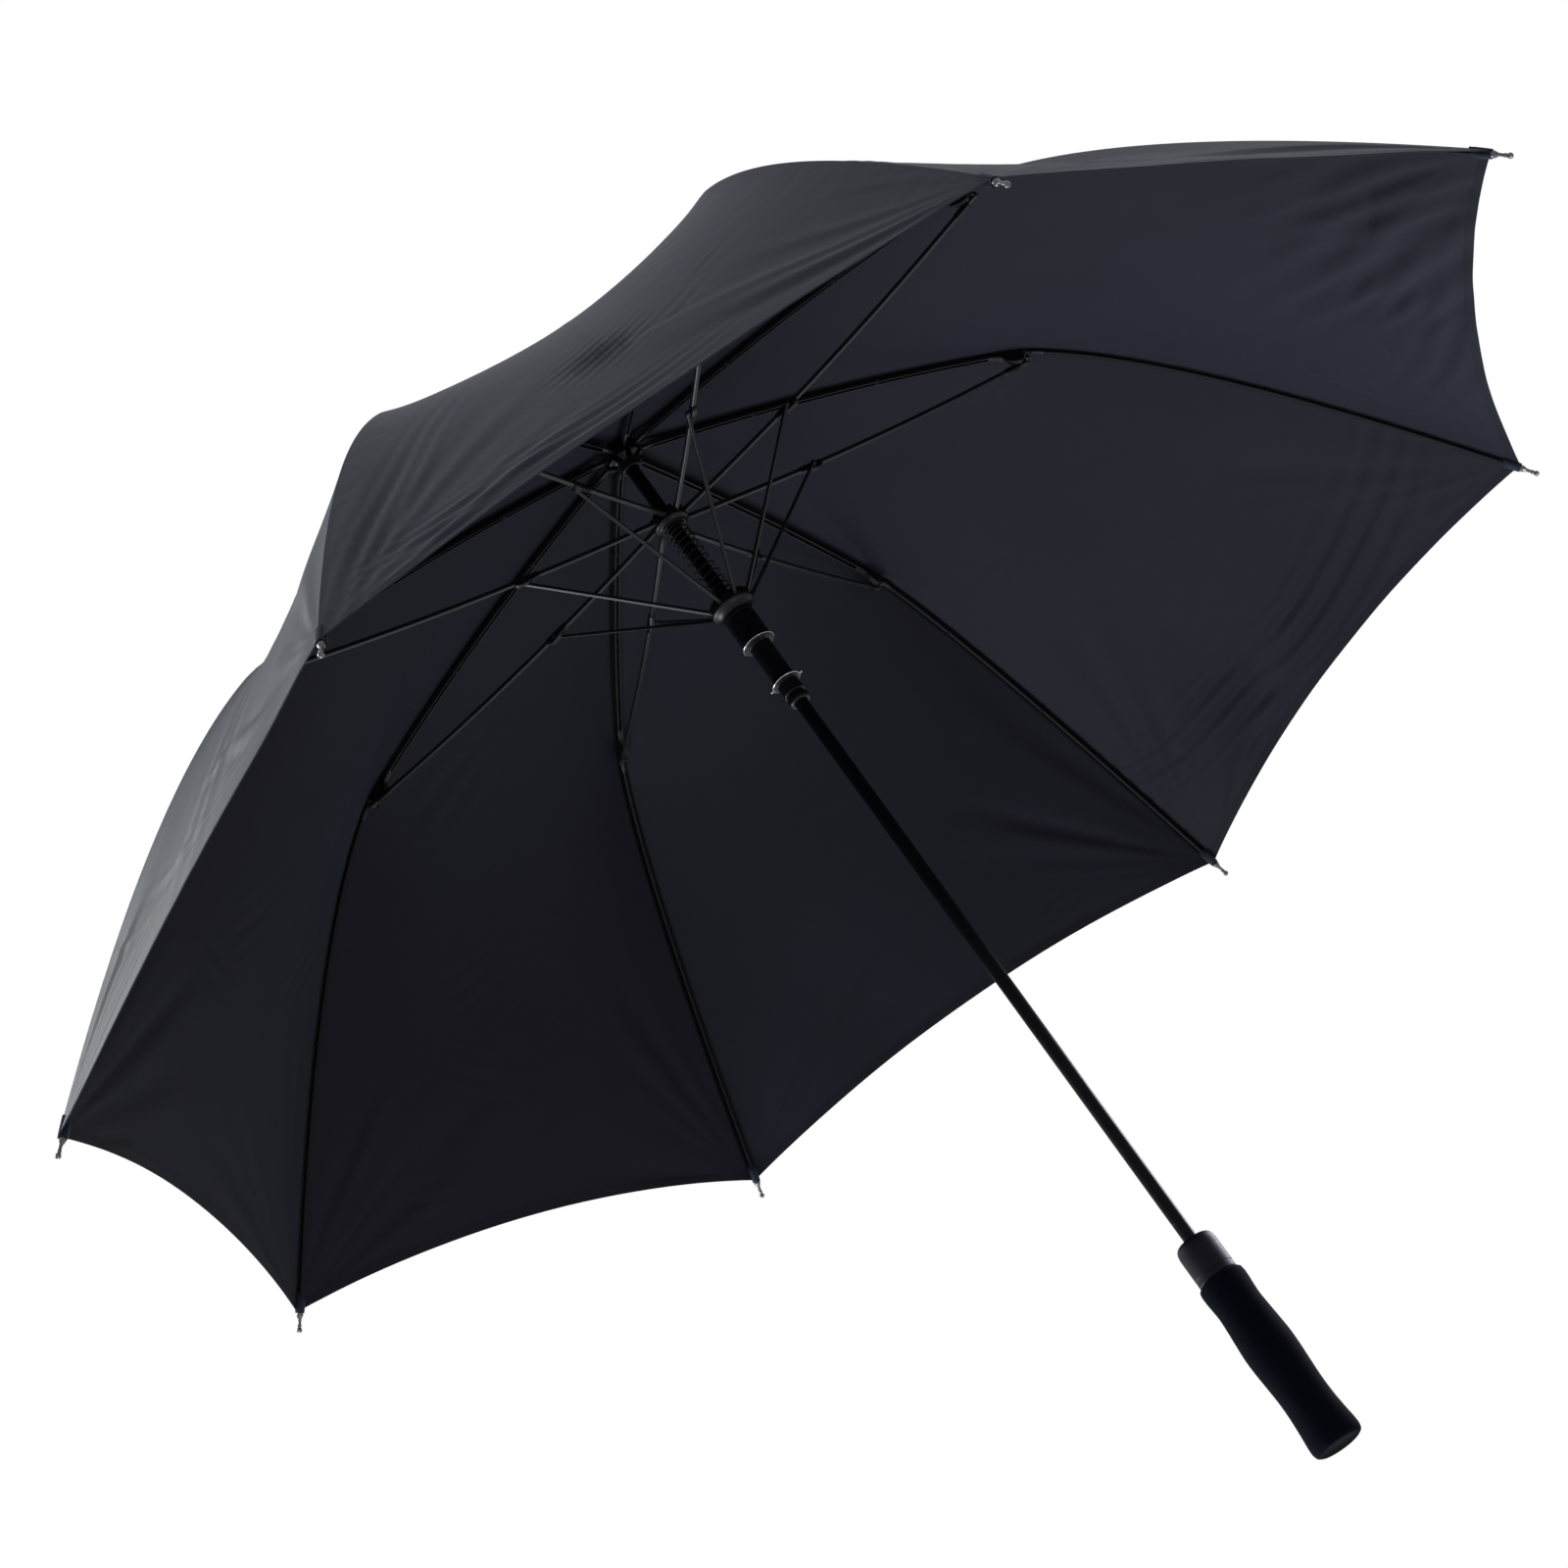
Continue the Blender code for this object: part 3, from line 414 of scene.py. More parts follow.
def add_lathe(bm, profile, steps=64, ring=True, matrix=None):
    """Spin (radius, height) about Z; ring closes a bored section."""
    count = len(profile)
    pts = []
    for r, h in profile:
        if r < 1e-7:
            pts.append([bm.verts.new((0, 0, h))])
        else:
            pts.append([bm.verts.new((r * cos(2 * pi * i / steps), r * sin(2 * pi * i / steps), h)) for i in range(steps)])
    pairs = list(zip(range(count - 1), range(1, count))) + ([(count - 1, 0)] if ring else [])
    new = [v for p in pts for v in p]
    for a, b in pairs:
        A, B = pts[a], pts[b]
        for i in range(steps):
            j = (i + 1) % steps
            if len(A) == 1 and len(B) == 1:
                continue
            if len(A) == 1:
                bm.faces.new((A[0], B[i], B[j]))
            elif len(B) == 1:
                bm.faces.new((A[i], A[j], B[0]))
            else:
                bm.faces.new((A[i], A[j], B[j], B[i]))
    if matrix is not None:
        bmesh.ops.transform(bm, matrix=matrix, verts=new)
    return new


def lathe(name, profile, mat, steps=72, ring=True, smooth=35.0):
    bm = bmesh.new()
    add_lathe(bm, profile, steps, ring)
    return make(name, to_mesh(bm, name), mat, smooth)


def add_loft(bm, rings, closed=False):
    vs = [[bm.verts.new(p) for p in r] for r in rings]
    n = len(vs[0])
    for a, b in list(zip(vs, vs[1:])) + ([(vs[-1], vs[0])] if closed else []):
        for i in range(n):
            bm.faces.new((a[i], a[(i + 1) % n], b[(i + 1) % n], b[i]))
    if not closed:
        bm.faces.new(vs[0][::-1])
        bm.faces.new(vs[-1])
    return [v for r in vs for v in r]


def add_tube(bm, points, radius, sides=10, closed=False):
    """Round wire through points; radius may be a number or one per point."""
    pts = [Vector(p) for p in points]
    n = len(pts)
    rad = radius if hasattr(radius, "__len__") else [radius] * n
    rings, ref = [], None
    for i, p in enumerate(pts):
        a = pts[i - 1] if (i > 0 or closed) else p
        b = pts[(i + 1) % n] if (i < n - 1 or closed) else p
        d = (b - a).normalized()
        if ref is None:
            ref = d.orthogonal().normalized()
        ref = (ref - d * ref.dot(d)).normalized()
        o = d.cross(ref)
        rings.append([p + (ref * cos(2 * pi * j / sides) + o * sin(2 * pi * j / sides)) * rad[i] for j in range(sides)])
    add_loft(bm, rings, closed)


def plane_to_world(u, v, w, origin, tilt):
    """Rib-plane coordinates (along, above, sideways) to the frame of rib 1."""
    return (origin[0] + u * cos(tilt) - v * sin(tilt), w, origin[1] + u * sin(tilt) + v * cos(tilt))


def add_plate(bm, outline, w0, w1, chamfer, origin=(0, 0), tilt=0.0):
    """A flat bar: an outline in the rib plane, from w0 to w1 sideways, with chamfered rims."""
    n = len(outline)
    def inset(d):
        out = []
        for i in range(n):
            a, b, c = Vector(outline[i - 1]), Vector(outline[i]), Vector(outline[(i + 1) % n])
            t = ((c - b).normalized() + (b - a).normalized()).normalized()
            out.append((b.x - t.y * d, b.y + t.x * d))
        return out
    full, small = outline, inset(chamfer)
    rings = [[plane_to_world(u, v, w, origin, tilt) for u, v in ring]
             for ring, w in ((small, w0), (full, w0 + chamfer), (full, w1 - chamfer), (small, w1))]
    add_loft(bm, rings)


def add_pin(bm, at, w0, w1, r, head, dome=0.0005, steps=20):
    """Rivet across the rib plane at (x, z), from w0 to w1, with domed heads."""
    prof = [(0, w0 - dome), (head * 0.6, w0 - dome * 0.8), (head, w0 - dome * 0.15), (head, w0 + 0.0002), (r, w0 + 0.00025),
            (r, w1 - 0.00025), (head, w1 - 0.0002), (head, w1 + dome * 0.15), (head * 0.6, w1 + dome * 0.8), (0, w1 + dome)]
    m = Matrix.Translation((at[0], 0, at[1])) @ Matrix.Rotation(-pi / 2, 4, "X")
    add_lathe(bm, prof, steps, ring=False, matrix=m)


def stadium(length, r0, r1, half, n=10, neck=None):
    """Outline of a bar with round eyes of radius r0 and r1, shank of half height."""
    pts = []
    a0 = np.arcsin(min(1.0, half / r0))
    for i in range(n + 1):
        a = pi - (pi - a0) + (2 * (pi - a0)) * i / n
        pts.append((r0 * cos(a), r0 * sin(a)))
    a1 = np.arcsin(min(1.0, half / r1))
    for i in range(n + 1):
        a = -(pi - a1) + 2 * (pi - a1) * i / n
        pts.append((length + r1 * cos(a), r1 * sin(a)))
    return pts


def around(proto, stem, put, skip=()):
    """Eight copies of a piece drawn at rib 1, each riding the body that put names."""
    made = []
    for k in range(1, RIBS + 1):
        ob = bpy.data.objects.new(f"{stem}_{k}", proto.data)
        bpy.context.scene.collection.objects.link(ob)
        ob.matrix_world = Matrix.Rotation(2 * pi * (k - 1) / RIBS, 4, "Z")
        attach(ob, put.format(k=k))
        made.append(ob)
    bpy.data.objects.remove(proto, do_unlink=True)
    return made


def boolean(ob, boxes, turn_each=True):
    """Cut slots: boxes of (low, high, azimuth)."""
    bm = bmesh.new()
    for low, high, turn in boxes:
        got = bmesh.ops.create_cube(bm, size=1.0)["verts"]
        size, mid = Vector(high) - Vector(low), (Vector(high) + Vector(low)) / 2
        for v in got:
            v.co = Vector((v.co.x * size.x, v.co.y * size.y, v.co.z * size.z)) + mid
        bmesh.ops.rotate(bm, verts=got, cent=(0, 0, 0), matrix=Matrix.Rotation(turn, 3, "Z"))
    me = bpy.data.meshes.new("cutter")
    bm.to_mesh(me)
    bm.free()
    tool = bpy.data.objects.new("cutter", me)
    bpy.context.scene.collection.objects.link(tool)
    mod = ob.modifiers.new("cut", "BOOLEAN")
    mod.operation, mod.solver, mod.object = "DIFFERENCE", "EXACT", tool
    mod2 = ob.modifiers.new("soft edges", "BEVEL")
    mod2.width, mod2.segments, mod2.limit_method, mod2.angle_limit = 0.00018, 2, "ANGLE", radians(50)
    bpy.context.view_layer.update()
    dg = bpy.context.evaluated_depsgraph_get()
    new = bpy.data.meshes.new_from_object(ob.evaluated_get(dg))
    ob.modifiers.clear()
    ob.data = new
    bpy.data.objects.remove(tool, do_unlink=True)
    new.shade_smooth()
    new.set_sharp_from_angle(angle=radians(35))
    return ob


# ---------------------------------------------------------------- canopy: the sewn cloth
def cloth_line(count):
    """Points (radius, height) of the cloth along a rib, crown to corner, one of them over the elbow."""
    fine = []
    for i in range(1, 101):
        x, z, d = upper_axis(i / 100)
        fine.append((x - sin(d) * 0.0039, z + cos(d) * 0.0039))
    last = before_tip(CLOTH_END)
    for i in range(1, 121):
        x, z, d = lower_axis(last * i / 120)
        off = 0.0039 - 0.0009 * i / 120
        fine.append((x - sin(d) * off, z + cos(d) * off))
    fine = [(r, z) for r, z in fine if r > 0.040]
    pts = np.array([(0.0105, 0.9271), (0.0120, 0.9271), (0.0165, 0.9269), (0.0210, 0.9259), (0.0280, 0.9241)] + fine)
    for _ in range(12):
        pts[6:-1] = 0.5 * pts[6:-1] + 0.25 * (pts[5:-2] + pts[7:])
    arc = np.concatenate([[0], np.cumsum(np.hypot(*np.diff(pts, axis=0).T))])
    bend = arc[np.argmin(np.abs(pts[:, 0] - ELBOW[0] - 0.0009))]
    inner = max(2, round((count - 1) * bend / arc[-1]))
    want = np.concatenate([np.linspace(0, bend, inner + 1), np.linspace(bend, arc[-1], count - inner)[1:]])
    return np.column_stack([np.interp(want, arc, pts[:, 0]), np.interp(want, arc, pts[:, 1])]), inner


def membrane(rows, cols, hem_pull=0.85):
    """A gore as a tensioned membrane between two fixed ribs, hem under extra pull."""
    line, elbow_row = cloth_line(rows)
    ang = 2 * pi / RIBS
    fixed = np.zeros((rows, cols), bool)
    fixed[:, 0] = fixed[:, -1] = True
    fixed[0, :] = True
    pos = np.zeros((rows, cols, 3))
    for i, (r, z) in enumerate(line):
        for j, a in ((0, 0.0), (cols - 1, ang)):
            pos[i, j] = (r * cos(a), r * sin(a), z)
    for j in range(cols):
        a = ang * j / (cols - 1)
        pos[0, j] = (line[0, 0] * cos(a), line[0, 0] * sin(a), line[0, 1])
    step = np.hypot(*np.diff(line, axis=0).T)
    wide = 2 * line[:, 0] * sin(ang / 2) / (cols - 1)
    index = -np.ones((rows, cols), int)
    index[~fixed] = np.arange((~fixed).sum())
    n = (~fixed).sum()
    m, rhs = np.zeros((n, n)), np.zeros((n, 3))

    def join(a, b, q):
        for p, o in ((a, b), (b, a)):
            i = index[p]
            if i < 0:
                continue
            m[i, i] += q
            if index[o] >= 0:
                m[i, index[o]] -= q
            else:
                rhs[i] += q * pos[o]

    for i in range(rows):
        tall = (step[i - 1] if i else step[0]) / 2 + (step[i] if i < rows - 1 else 0) / 2
        for j in range(cols - 1):
            q = tall / wide[i]
            if i == rows - 1:
                q += hem_pull / wide[i]
            join((i, j), (i, j + 1), q)
        if i < rows - 1:
            w = (wide[i] + wide[i + 1]) / 2
            for j in range(1, cols - 1):
                join((i, j), (i + 1, j), w / step[i])
    pos[~fixed] = np.linalg.solve(m, rhs)
    return pos, elbow_row


def arc_of(p):
    return np.concatenate([[0.0], np.cumsum(np.linalg.norm(np.diff(p, axis=0), axis=1))])


def resample(p, want):
    """Smooth cubic interpolation of a polyline at arc lengths want."""
    s = arc_of(p)
    tan = np.gradient(p, s, axis=0)
    i = np.clip(np.searchsorted(s, want, side="right") - 1, 0, len(s) - 2)
    h = (s[i + 1] - s[i])[:, None]
    t = ((want - s[i])[:, None]) / h
    return ((2 * t**3 - 3 * t**2 + 1) * p[i] + (t**3 - 2 * t**2 + t) * h * tan[i]
            + (-2 * t**3 + 3 * t**2) * p[i + 1] + (t**3 - t**2) * h * tan[i + 1])


def smoothstep(x):
    x = np.clip(x, 0, 1)
    return x * x * (3 - 2 * x)


ROW_STEP, HALF_COLS = 0.0042, 49
NET, NET_ELBOW = membrane(62, 33)


def gore_grid():
    """Even, fine grid over one gore, with rows and columns kept along seam and hem for their folded edges."""
    rows, cols = NET.shape[:2]
    near = np.array([0.0, 0.0014, SEAM, SEAM + 0.0009])
    across = []
    for i in range(rows):
        s = arc_of(NET[i])
        half = s[-1] / 2
        scale = min(1.0, half / 0.030)
        start = near * scale
        rest = start[-1] + (half - start[-1]) * np.linspace(0, 1, HALF_COLS - 3 + 1)[1:]
        left = np.concatenate([start, rest])
        across.append(resample(NET[i], np.concatenate([left, (s[-1] - left[:-1])[::-1]])))
    mid = np.array(across)
    n = mid.shape[1]
    inner_rows = round(arc_of(mid[:NET_ELBOW + 1, 0])[-1] / ROW_STEP)
    outer_len = arc_of(mid[NET_ELBOW:, 0])[-1]
    outer_rows = round(outer_len / ROW_STEP)
    hem = np.array([0.0, 0.0008, HEM, HEM + 0.0009])
    out = np.zeros((inner_rows + outer_rows + 4, n, 3))
    for j in range(n):
        a = resample(mid[:NET_ELBOW + 1, j], np.linspace(0, arc_of(mid[:NET_ELBOW + 1, j])[-1], inner_rows + 1))
        low = mid[NET_ELBOW:, j]
        total = arc_of(low)[-1]
        body = np.linspace(0, total - hem[-1], outer_rows + 1)[1:]
        b = resample(low, np.concatenate([body, (total - hem[:-1])[::-1]]))
        out[:inner_rows + 1, j] = a
        out[inner_rows + 1:, j] = b
    return out, inner_rows


GRID, ELBOW_ROW = gore_grid()
ROWS, COLS = GRID.shape[:2]
MID = COLS // 2


def grid_normals(g):
    du = np.gradient(g, axis=0)
    dv = np.gradient(g, axis=1)
    n = np.cross(du, dv)
    n /= np.maximum(np.linalg.norm(n, axis=2, keepdims=True), 1e-12)
    return n * np.sign(n[ROWS // 2, MID, 2])


BASE_N = grid_normals(GRID)
ALONG = np.stack([arc_of(GRID[:, j]) for j in range(COLS)], 1)
TO_HEM = ALONG[-1][None, :] - ALONG
ACROSS = np.stack([arc_of(GRID[i]) for i in range(ROWS)], 0)
WIDTH = ACROSS[:, -1:]
FROM_SEAM = np.minimum(ACROSS, WIDTH - ACROSS)
OFF_CENTRE = ACROSS - WIDTH / 2


def fan(rng, g, side):
    """Pull lines that spread from a corner, between the seam and the hem."""
    j = 0 if side == 0 else -1
    corner = g[-1, j]
    seam = g[-30, j] - corner
    seam /= np.linalg.norm(seam)
    hem = g[-1, 12 if side == 0 else -13] - corner
    hem /= np.linalg.norm(hem)
    v = g - corner
    rho = np.linalg.norm(v, axis=2)
    ang = np.arccos(np.clip((v @ seam) / np.maximum(rho, 1e-6), -1, 1))
    total = np.arccos(np.clip(seam @ hem, -1, 1))
    out = np.zeros(rho.shape)
    for _ in range(9):
        at = rng.uniform(0.06, 0.95) * total
        wide = rng.uniform(0.030, 0.075)
        reach = rng.uniform(0.10, 0.34)
        curl = rng.uniform(-0.25, 0.25)
        x = (ang - at - curl * rho) / wide
        ridge = np.exp(-x * x) - 0.55 * np.exp(-((x - 1.5) ** 2))
        out += rng.uniform(0.4, 1.0) * ridge * wide * np.minimum(rho, 0.16) * smoothstep(rho / 0.035) * smoothstep((reach - rho) / (0.6 * reach))
    return out * 0.16


def patch(g, centre, direction, long, wide, pitch, depth, phase=0.0):
    """A group of parallel creases round a place, given as (along, off centre) in metres."""
    a, c = ALONG - centre[0], OFF_CENTRE - centre[1]
    u = a * cos(direction) + c * sin(direction)
    v = -a * sin(direction) + c * cos(direction)
    wob = 0.35 * np.sin(u * 38 + phase)
    return depth * np.exp(-(u / long) ** 2 - (v / wide) ** 2) * np.sin(2 * pi * v / pitch + phase + wob)


def dressed(k):
    """Gore k with its own wrinkles: corner pull lines, puckered seams, slack, storage creases."""
    rng = np.random.default_rng(410 + k)
    g = GRID
    w = fan(rng, g, 0) + fan(rng, g, 1)
    # puckers beside the stitched seams
    for side, dist in ((0, ACROSS), (1, WIDTH - ACROSS)):
        wave = np.zeros_like(w)
        for _ in range(5):
            wave += rng.uniform(0.5, 1.0) * np.sin(2 * pi * ALONG / rng.uniform(0.015, 0.040) + rng.uniform(0, 6.3) + dist * rng.uniform(-60, 60))
        w += 0.00010 * wave * np.exp(-dist / 0.016) * smoothstep(dist / 0.006) * (0.4 + 0.6 * np.sin(ALONG * rng.uniform(14, 24) + rng.uniform(0, 6)) ** 2)
    # slack between the ribs
    for _ in range(7):
        kx, ky = rng.uniform(-38, 38), rng.uniform(-22, 22)
        w += 0.00042 * np.sin(kx * OFF_CENTRE + ky * ALONG + rng.uniform(0, 6.3)) * smoothstep(FROM_SEAM / 0.05)
    # creases left by storage, along the old fold beside each rib and the middle
    for at in (0.34, 0.66):
        line = np.abs(FROM_SEAM / np.maximum(WIDTH / 2, 1e-6) - at - 0.02 * np.sin(ALONG * 11 + k))
        w += 0.00010 * np.exp(-(line * WIDTH / 0.006) ** 2) * np.sin(ALONG * rng.uniform(18, 40))
    for _ in range(5):
        w += patch(g, (rng.uniform(0.30, 0.66), rng.uniform(-0.12, 0.12)), rng.uniform(0.7, 2.4),
                   rng.uniform(0.02, 0.05), rng.uniform(0.012, 0.026), rng.uniform(0.013, 0.019), rng.uniform(0.00012, 0.00030), rng.uniform(0, 6.3))
    for p in PLACED.get(k, ()):
        w += patch(g, *p)
    w *= smoothstep(FROM_SEAM / 0.010) * smoothstep((ALONG - 0.02) / 0.05)
    w *= 0.55 + 0.45 * smoothstep(TO_HEM / 0.010)
    out = g + BASE_N * w[:, :, None]
    return out


# creases at known places: (along, off centre), direction, length, width, pitch, depth, phase
PLACED = {
    7: [((0.523, 0.000), 2.06, 0.026, 0.030, 0.0128, 0.00125, 0.5),
        ((0.425, 0.002), 0.00, 0.075, 0.0036, 0.0200, 0.00095, 1.57),
        ((0.638, -0.035), 1.62, 0.080, 0.022, 0.0135, 0.00060, 1.0),
        ((0.650, -0.125), 1.78, 0.065, 0.020, 0.0135, 0.00060, 2.0),
        ((0.590, -0.168), -0.41, 0.150, 0.020, 0.0140, 0.00070, 0.4),
        ((0.503, 0.089), 1.95, 0.018, 0.008, 0.0125, 0.00040, 0.0)],
    6: [((0.500, -0.030), 0.12, 0.130, 0.045, 0.0420, 0.00090, 0.0),
        ((0.590, 0.066), 0.85, 0.060, 0.0140, 0.0300, 0.00150, 1.57),
        ((0.514, -0.034), 1.10, 0.036, 0.0120, 0.0260, 0.00120, 1.57),
        ((0.580, -0.058), 1.34, 0.062, 0.0130, 0.0280, 0.00160, 1.57),
        ((0.598, -0.135), 1.57, 0.046, 0.0120, 0.0260, 0.00130, 1.57),
        ((0.600, 0.060), 1.35, 0.090, 0.030, 0.0180, 0.00060, 1.0)],
    1: [((0.604, -0.126), 1.88, 0.060, 0.0040, 0.0200, 0.00080, 1.57),
        ((0.605, -0.060), 2.25, 0.120, 0.060, 0.0360, 0.00300, 0.5),
        ((0.615, -0.150), 2.55, 0.100, 0.042, 0.0230, 0.00200, 0.2),
        ((0.600, 0.005), 2.05, 0.030, 0.050, 0.0170, 0.00110, 0.8),
        ((0.640, 0.060), 1.70, 0.090, 0.030, 0.0240, 0.00110, 0.9)],
    2: [((0.625, -0.050), 1.62, 0.160, 0.040, 0.0200, 0.00190, 0.3),
        ((0.620, 0.120), 1.45, 0.110, 0.034, 0.0190, 0.00170, 1.0)],
    4: [((0.300, 0.060), 0.60, 0.050, 0.030, 0.0200, 0.00060, 0.0)],
    8: [((0.560, -0.060), 1.30, 0.090, 0.040, 0.0240, 0.00090, 0.0)],
}


def cloth_piece(name, g, normals, rows, cols, body, flap_rows=0, flap_cols=0, turn=0.0):
    """A closed thin patch of the gore grid.  Beyond rows.start and the middle column a
    0.1 mm tongue lies inside the neighbour's thickness and covers the joint when the frame folds."""
    r0, r1 = rows
    c0, c1 = cols
    R0 = max(0, r0 - flap_rows)
    C0, C1 = c0, c1 + flap_cols
    sel = np.s_[R0:r1 + 1, C0:C1 + 1]
    p, nn = g[sel], normals[sel]
    d, h = FROM_SEAM[sel], TO_HEM[sel]
    scale = np.minimum(1.0, WIDTH[R0:r1 + 1] / 0.060)
    thick = np.full(p.shape[:2], FINE)
    thick = np.where(h < HEM + 0.0004, FINE + 0.00050, thick)
    thick = np.maximum(thick, np.where(d < (SEAM + 0.0003) * scale, FINE + 0.00045, 0))
    up = np.full(p.shape[:2], FINE / 2)
    tongue = np.zeros(p.shape[:2], bool)
    if flap_rows:
        tongue[:r0 - R0] = True
    if flap_cols:
        tongue[:, c1 - c0 + 1:] = True
    thick = np.where(tongue, 0.00010, thick)
    up = np.where(tongue, 0.00005, up)
    top = p + nn * up[:, :, None]
    low = p - nn * (thick - up)[:, :, None]
    nr, nc = p.shape[:2]
    rot = np.array(Matrix.Rotation(turn, 3, "Z"))
    verts = np.concatenate([top.reshape(-1, 3), low.reshape(-1, 3)]) @ rot.T
    idx = np.arange(nr * nc).reshape(nr, nc)
    a, b, c, e = idx[:-1, :-1], idx[1:, :-1], idx[1:, 1:], idx[:-1, 1:]
    topf = np.stack([a, b, c, e], -1).reshape(-1, 4)
    lowf = np.stack([a, e, c, b], -1).reshape(-1, 4) + nr * nc
    rim = np.concatenate([idx[:, 0], idx[-1, 1:], idx[::-1, -1][1:], idx[0, ::-1][1:]])
    nxt = np.roll(rim, -1)[:-1] if rim[0] == rim[-1] else np.roll(rim, -1)
    rr = rim[:-1] if rim[0] == rim[-1] else rim
    rimf = np.stack([nxt, rr, rr + nr * nc, nxt + nr * nc], -1)
    faces = np.concatenate([topf, lowf, rimf])
    # the first face shows which way round the grid runs
    q = verts[topf[len(topf) // 2]]
    fn = np.cross(q[1] - q[0], q[2] - q[0])
    want = nn.reshape(-1, 3)[topf[len(topf) // 2][0]] @ rot.T
    if fn @ want < 0:
        faces = faces[:, ::-1]
    me = bpy.data.meshes.new(name)
    me.vertices.add(len(verts))
    me.vertices.foreach_set("co", verts.astype(np.float32).ravel())
    me.loops.add(faces.size)
    me.loops.foreach_set("vertex_index", faces.astype(np.int32).ravel())
    me.polygons.add(len(faces))
    me.polygons.foreach_set("loop_start", np.arange(0, faces.size, 4, dtype=np.int32))
    me.polygons.foreach_set("loop_total", np.full(len(faces), 4, np.int32))
    slots = np.zeros(len(faces), np.int32)
    slots[len(topf):len(topf) + len(lowf)] = 1
    me.polygons.foreach_set("material_index", slots)
    me.update(calc_edges=True)
    me.validate()
    me.materials.append(CLOTH_OUT)
    me.materials.append(CLOTH_IN)
    flat = faces.ravel() % (nr * nc)
    uv = np.stack([OFF_CENTRE[sel].ravel()[flat], ALONG[sel].ravel()[flat]], 1)
    ed = np.stack([d.ravel()[flat], h.ravel()[flat]], 1)
    for label, data in (("weave", uv), ("edges", ed)):
        layer = me.uv_layers.new(name=label)
        layer.data.foreach_set("uv", data.astype(np.float32).ravel())
    me.shade_smooth()
    vn = np.concatenate([nn.reshape(-1, 3), -nn.reshape(-1, 3)]) @ rot.T
    me.normals_split_custom_set_from_vertices(vn.tolist())
    ob = bpy.data.objects.new(name, me)
    bpy.context.scene.collection.objects.link(ob)
    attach(ob, body)
    return ob


CLOTH = []


def measured(g, rows, cols):
    """Flat size of a patch: its greatest width, its length and its area, from its threads' rest lengths."""
    p = g[rows[0]:rows[1] + 1, cols[0]:cols[1] + 1]
    a = np.cross(p[1:, :-1] - p[:-1, :-1], p[1:, 1:] - p[:-1, :-1])
    b = np.cross(p[1:, 1:] - p[:-1, :-1], p[:-1, 1:] - p[:-1, :-1])
    area = (np.linalg.norm(a, axis=2) + np.linalg.norm(b, axis=2)).sum() / 2
    width = max(np.linalg.norm(np.diff(r, axis=0), axis=1).sum() for r in p)
    length = max(np.linalg.norm(np.diff(p[:, j], axis=0), axis=1).sum() for j in (0, -1))
    return width, length, area


def build_canopy():
    for gore in range(1, RIBS + 1):
        g = dressed(gore)
        nrm = grid_normals(g)
        turn = 2 * pi * (gore - 1) / RIBS
        right = gore % RIBS + 1
        for half, rib, sign in (("a", gore, 1), ("b", right, -1)):
            cols = (0, MID) if half == "a" else (MID, COLS - 1)
            a = half == "a"
            low = ELBOW_ROW + round((ROWS - ELBOW_ROW) * 0.50)
            for part, rows, body, tilt, beta, keep, lap in (
                    ("cap", (0, 12), f"upper_rib_{rib}", RIB_TILT, -0.300 if a else -0.240, 0.570, 0),
                    ("crown", (12, 26), f"upper_rib_{rib}", RIB_TILT, -0.010 if a else 0.025, 0.325, 2),
                    ("mid", (26, 48), f"upper_rib_{rib}", RIB_TILT, 0.064 if a else 0.094, 0.215, 2),
                    ("inner", (48, ELBOW_ROW), f"upper_rib_{rib}", RIB_TILT, 0.100 if a else 0.150, 0.146, 3),
                    ("outer", (ELBOW_ROW, low), f"lower_rib_{rib}", CHORD_TILT, 0.316 if a else 0.360, 0.130, 6),
                    ("hem", (low, ROWS - 1), f"lower_rib_{rib}", CHORD_TILT, 0.298 if a else 0.340, 0.100, 3)):
                ob = cloth_piece(f"cloth_{part}_{rib}{half}", g, nrm, rows, cols, body,
                                 flap_rows=lap, flap_cols=2 if a else 0, turn=turn)
                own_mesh(ob)
                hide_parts(f"canopy_panel_{rib}")
                w, l, area = measured(g, rows, cols)
                CLOTH.append((ob.name, round(w, 3), round(l, 3), round(area, 4)))


build_canopy()


# ---------------------------------------------------------------- inner ribs and their connectors
def channel(w, h, wall, c=0.0005):
    """Section of a channel open below: (sideways, above) points."""
    return [(-w, -h), (-w + wall, -h), (-w + wall, h - wall - c), (-w + wall + c, h - wall), (w - wall - c, h - wall),
            (w - wall, h - wall - c), (w - wall, -h), (w, -h), (w, h - c * 1.3), (w - c * 0.4, h - c * 0.4), (w - c * 1.3, h),
            (-w + c * 1.3, h), (-w + c * 0.4, h - c * 0.4), (-w, h - c * 1.3)]


def at_section(axis, t, section):
    x, z, d = axis(t)
    return [(x - sin(d) * n, w, z + cos(d) * n) for w, n in section]


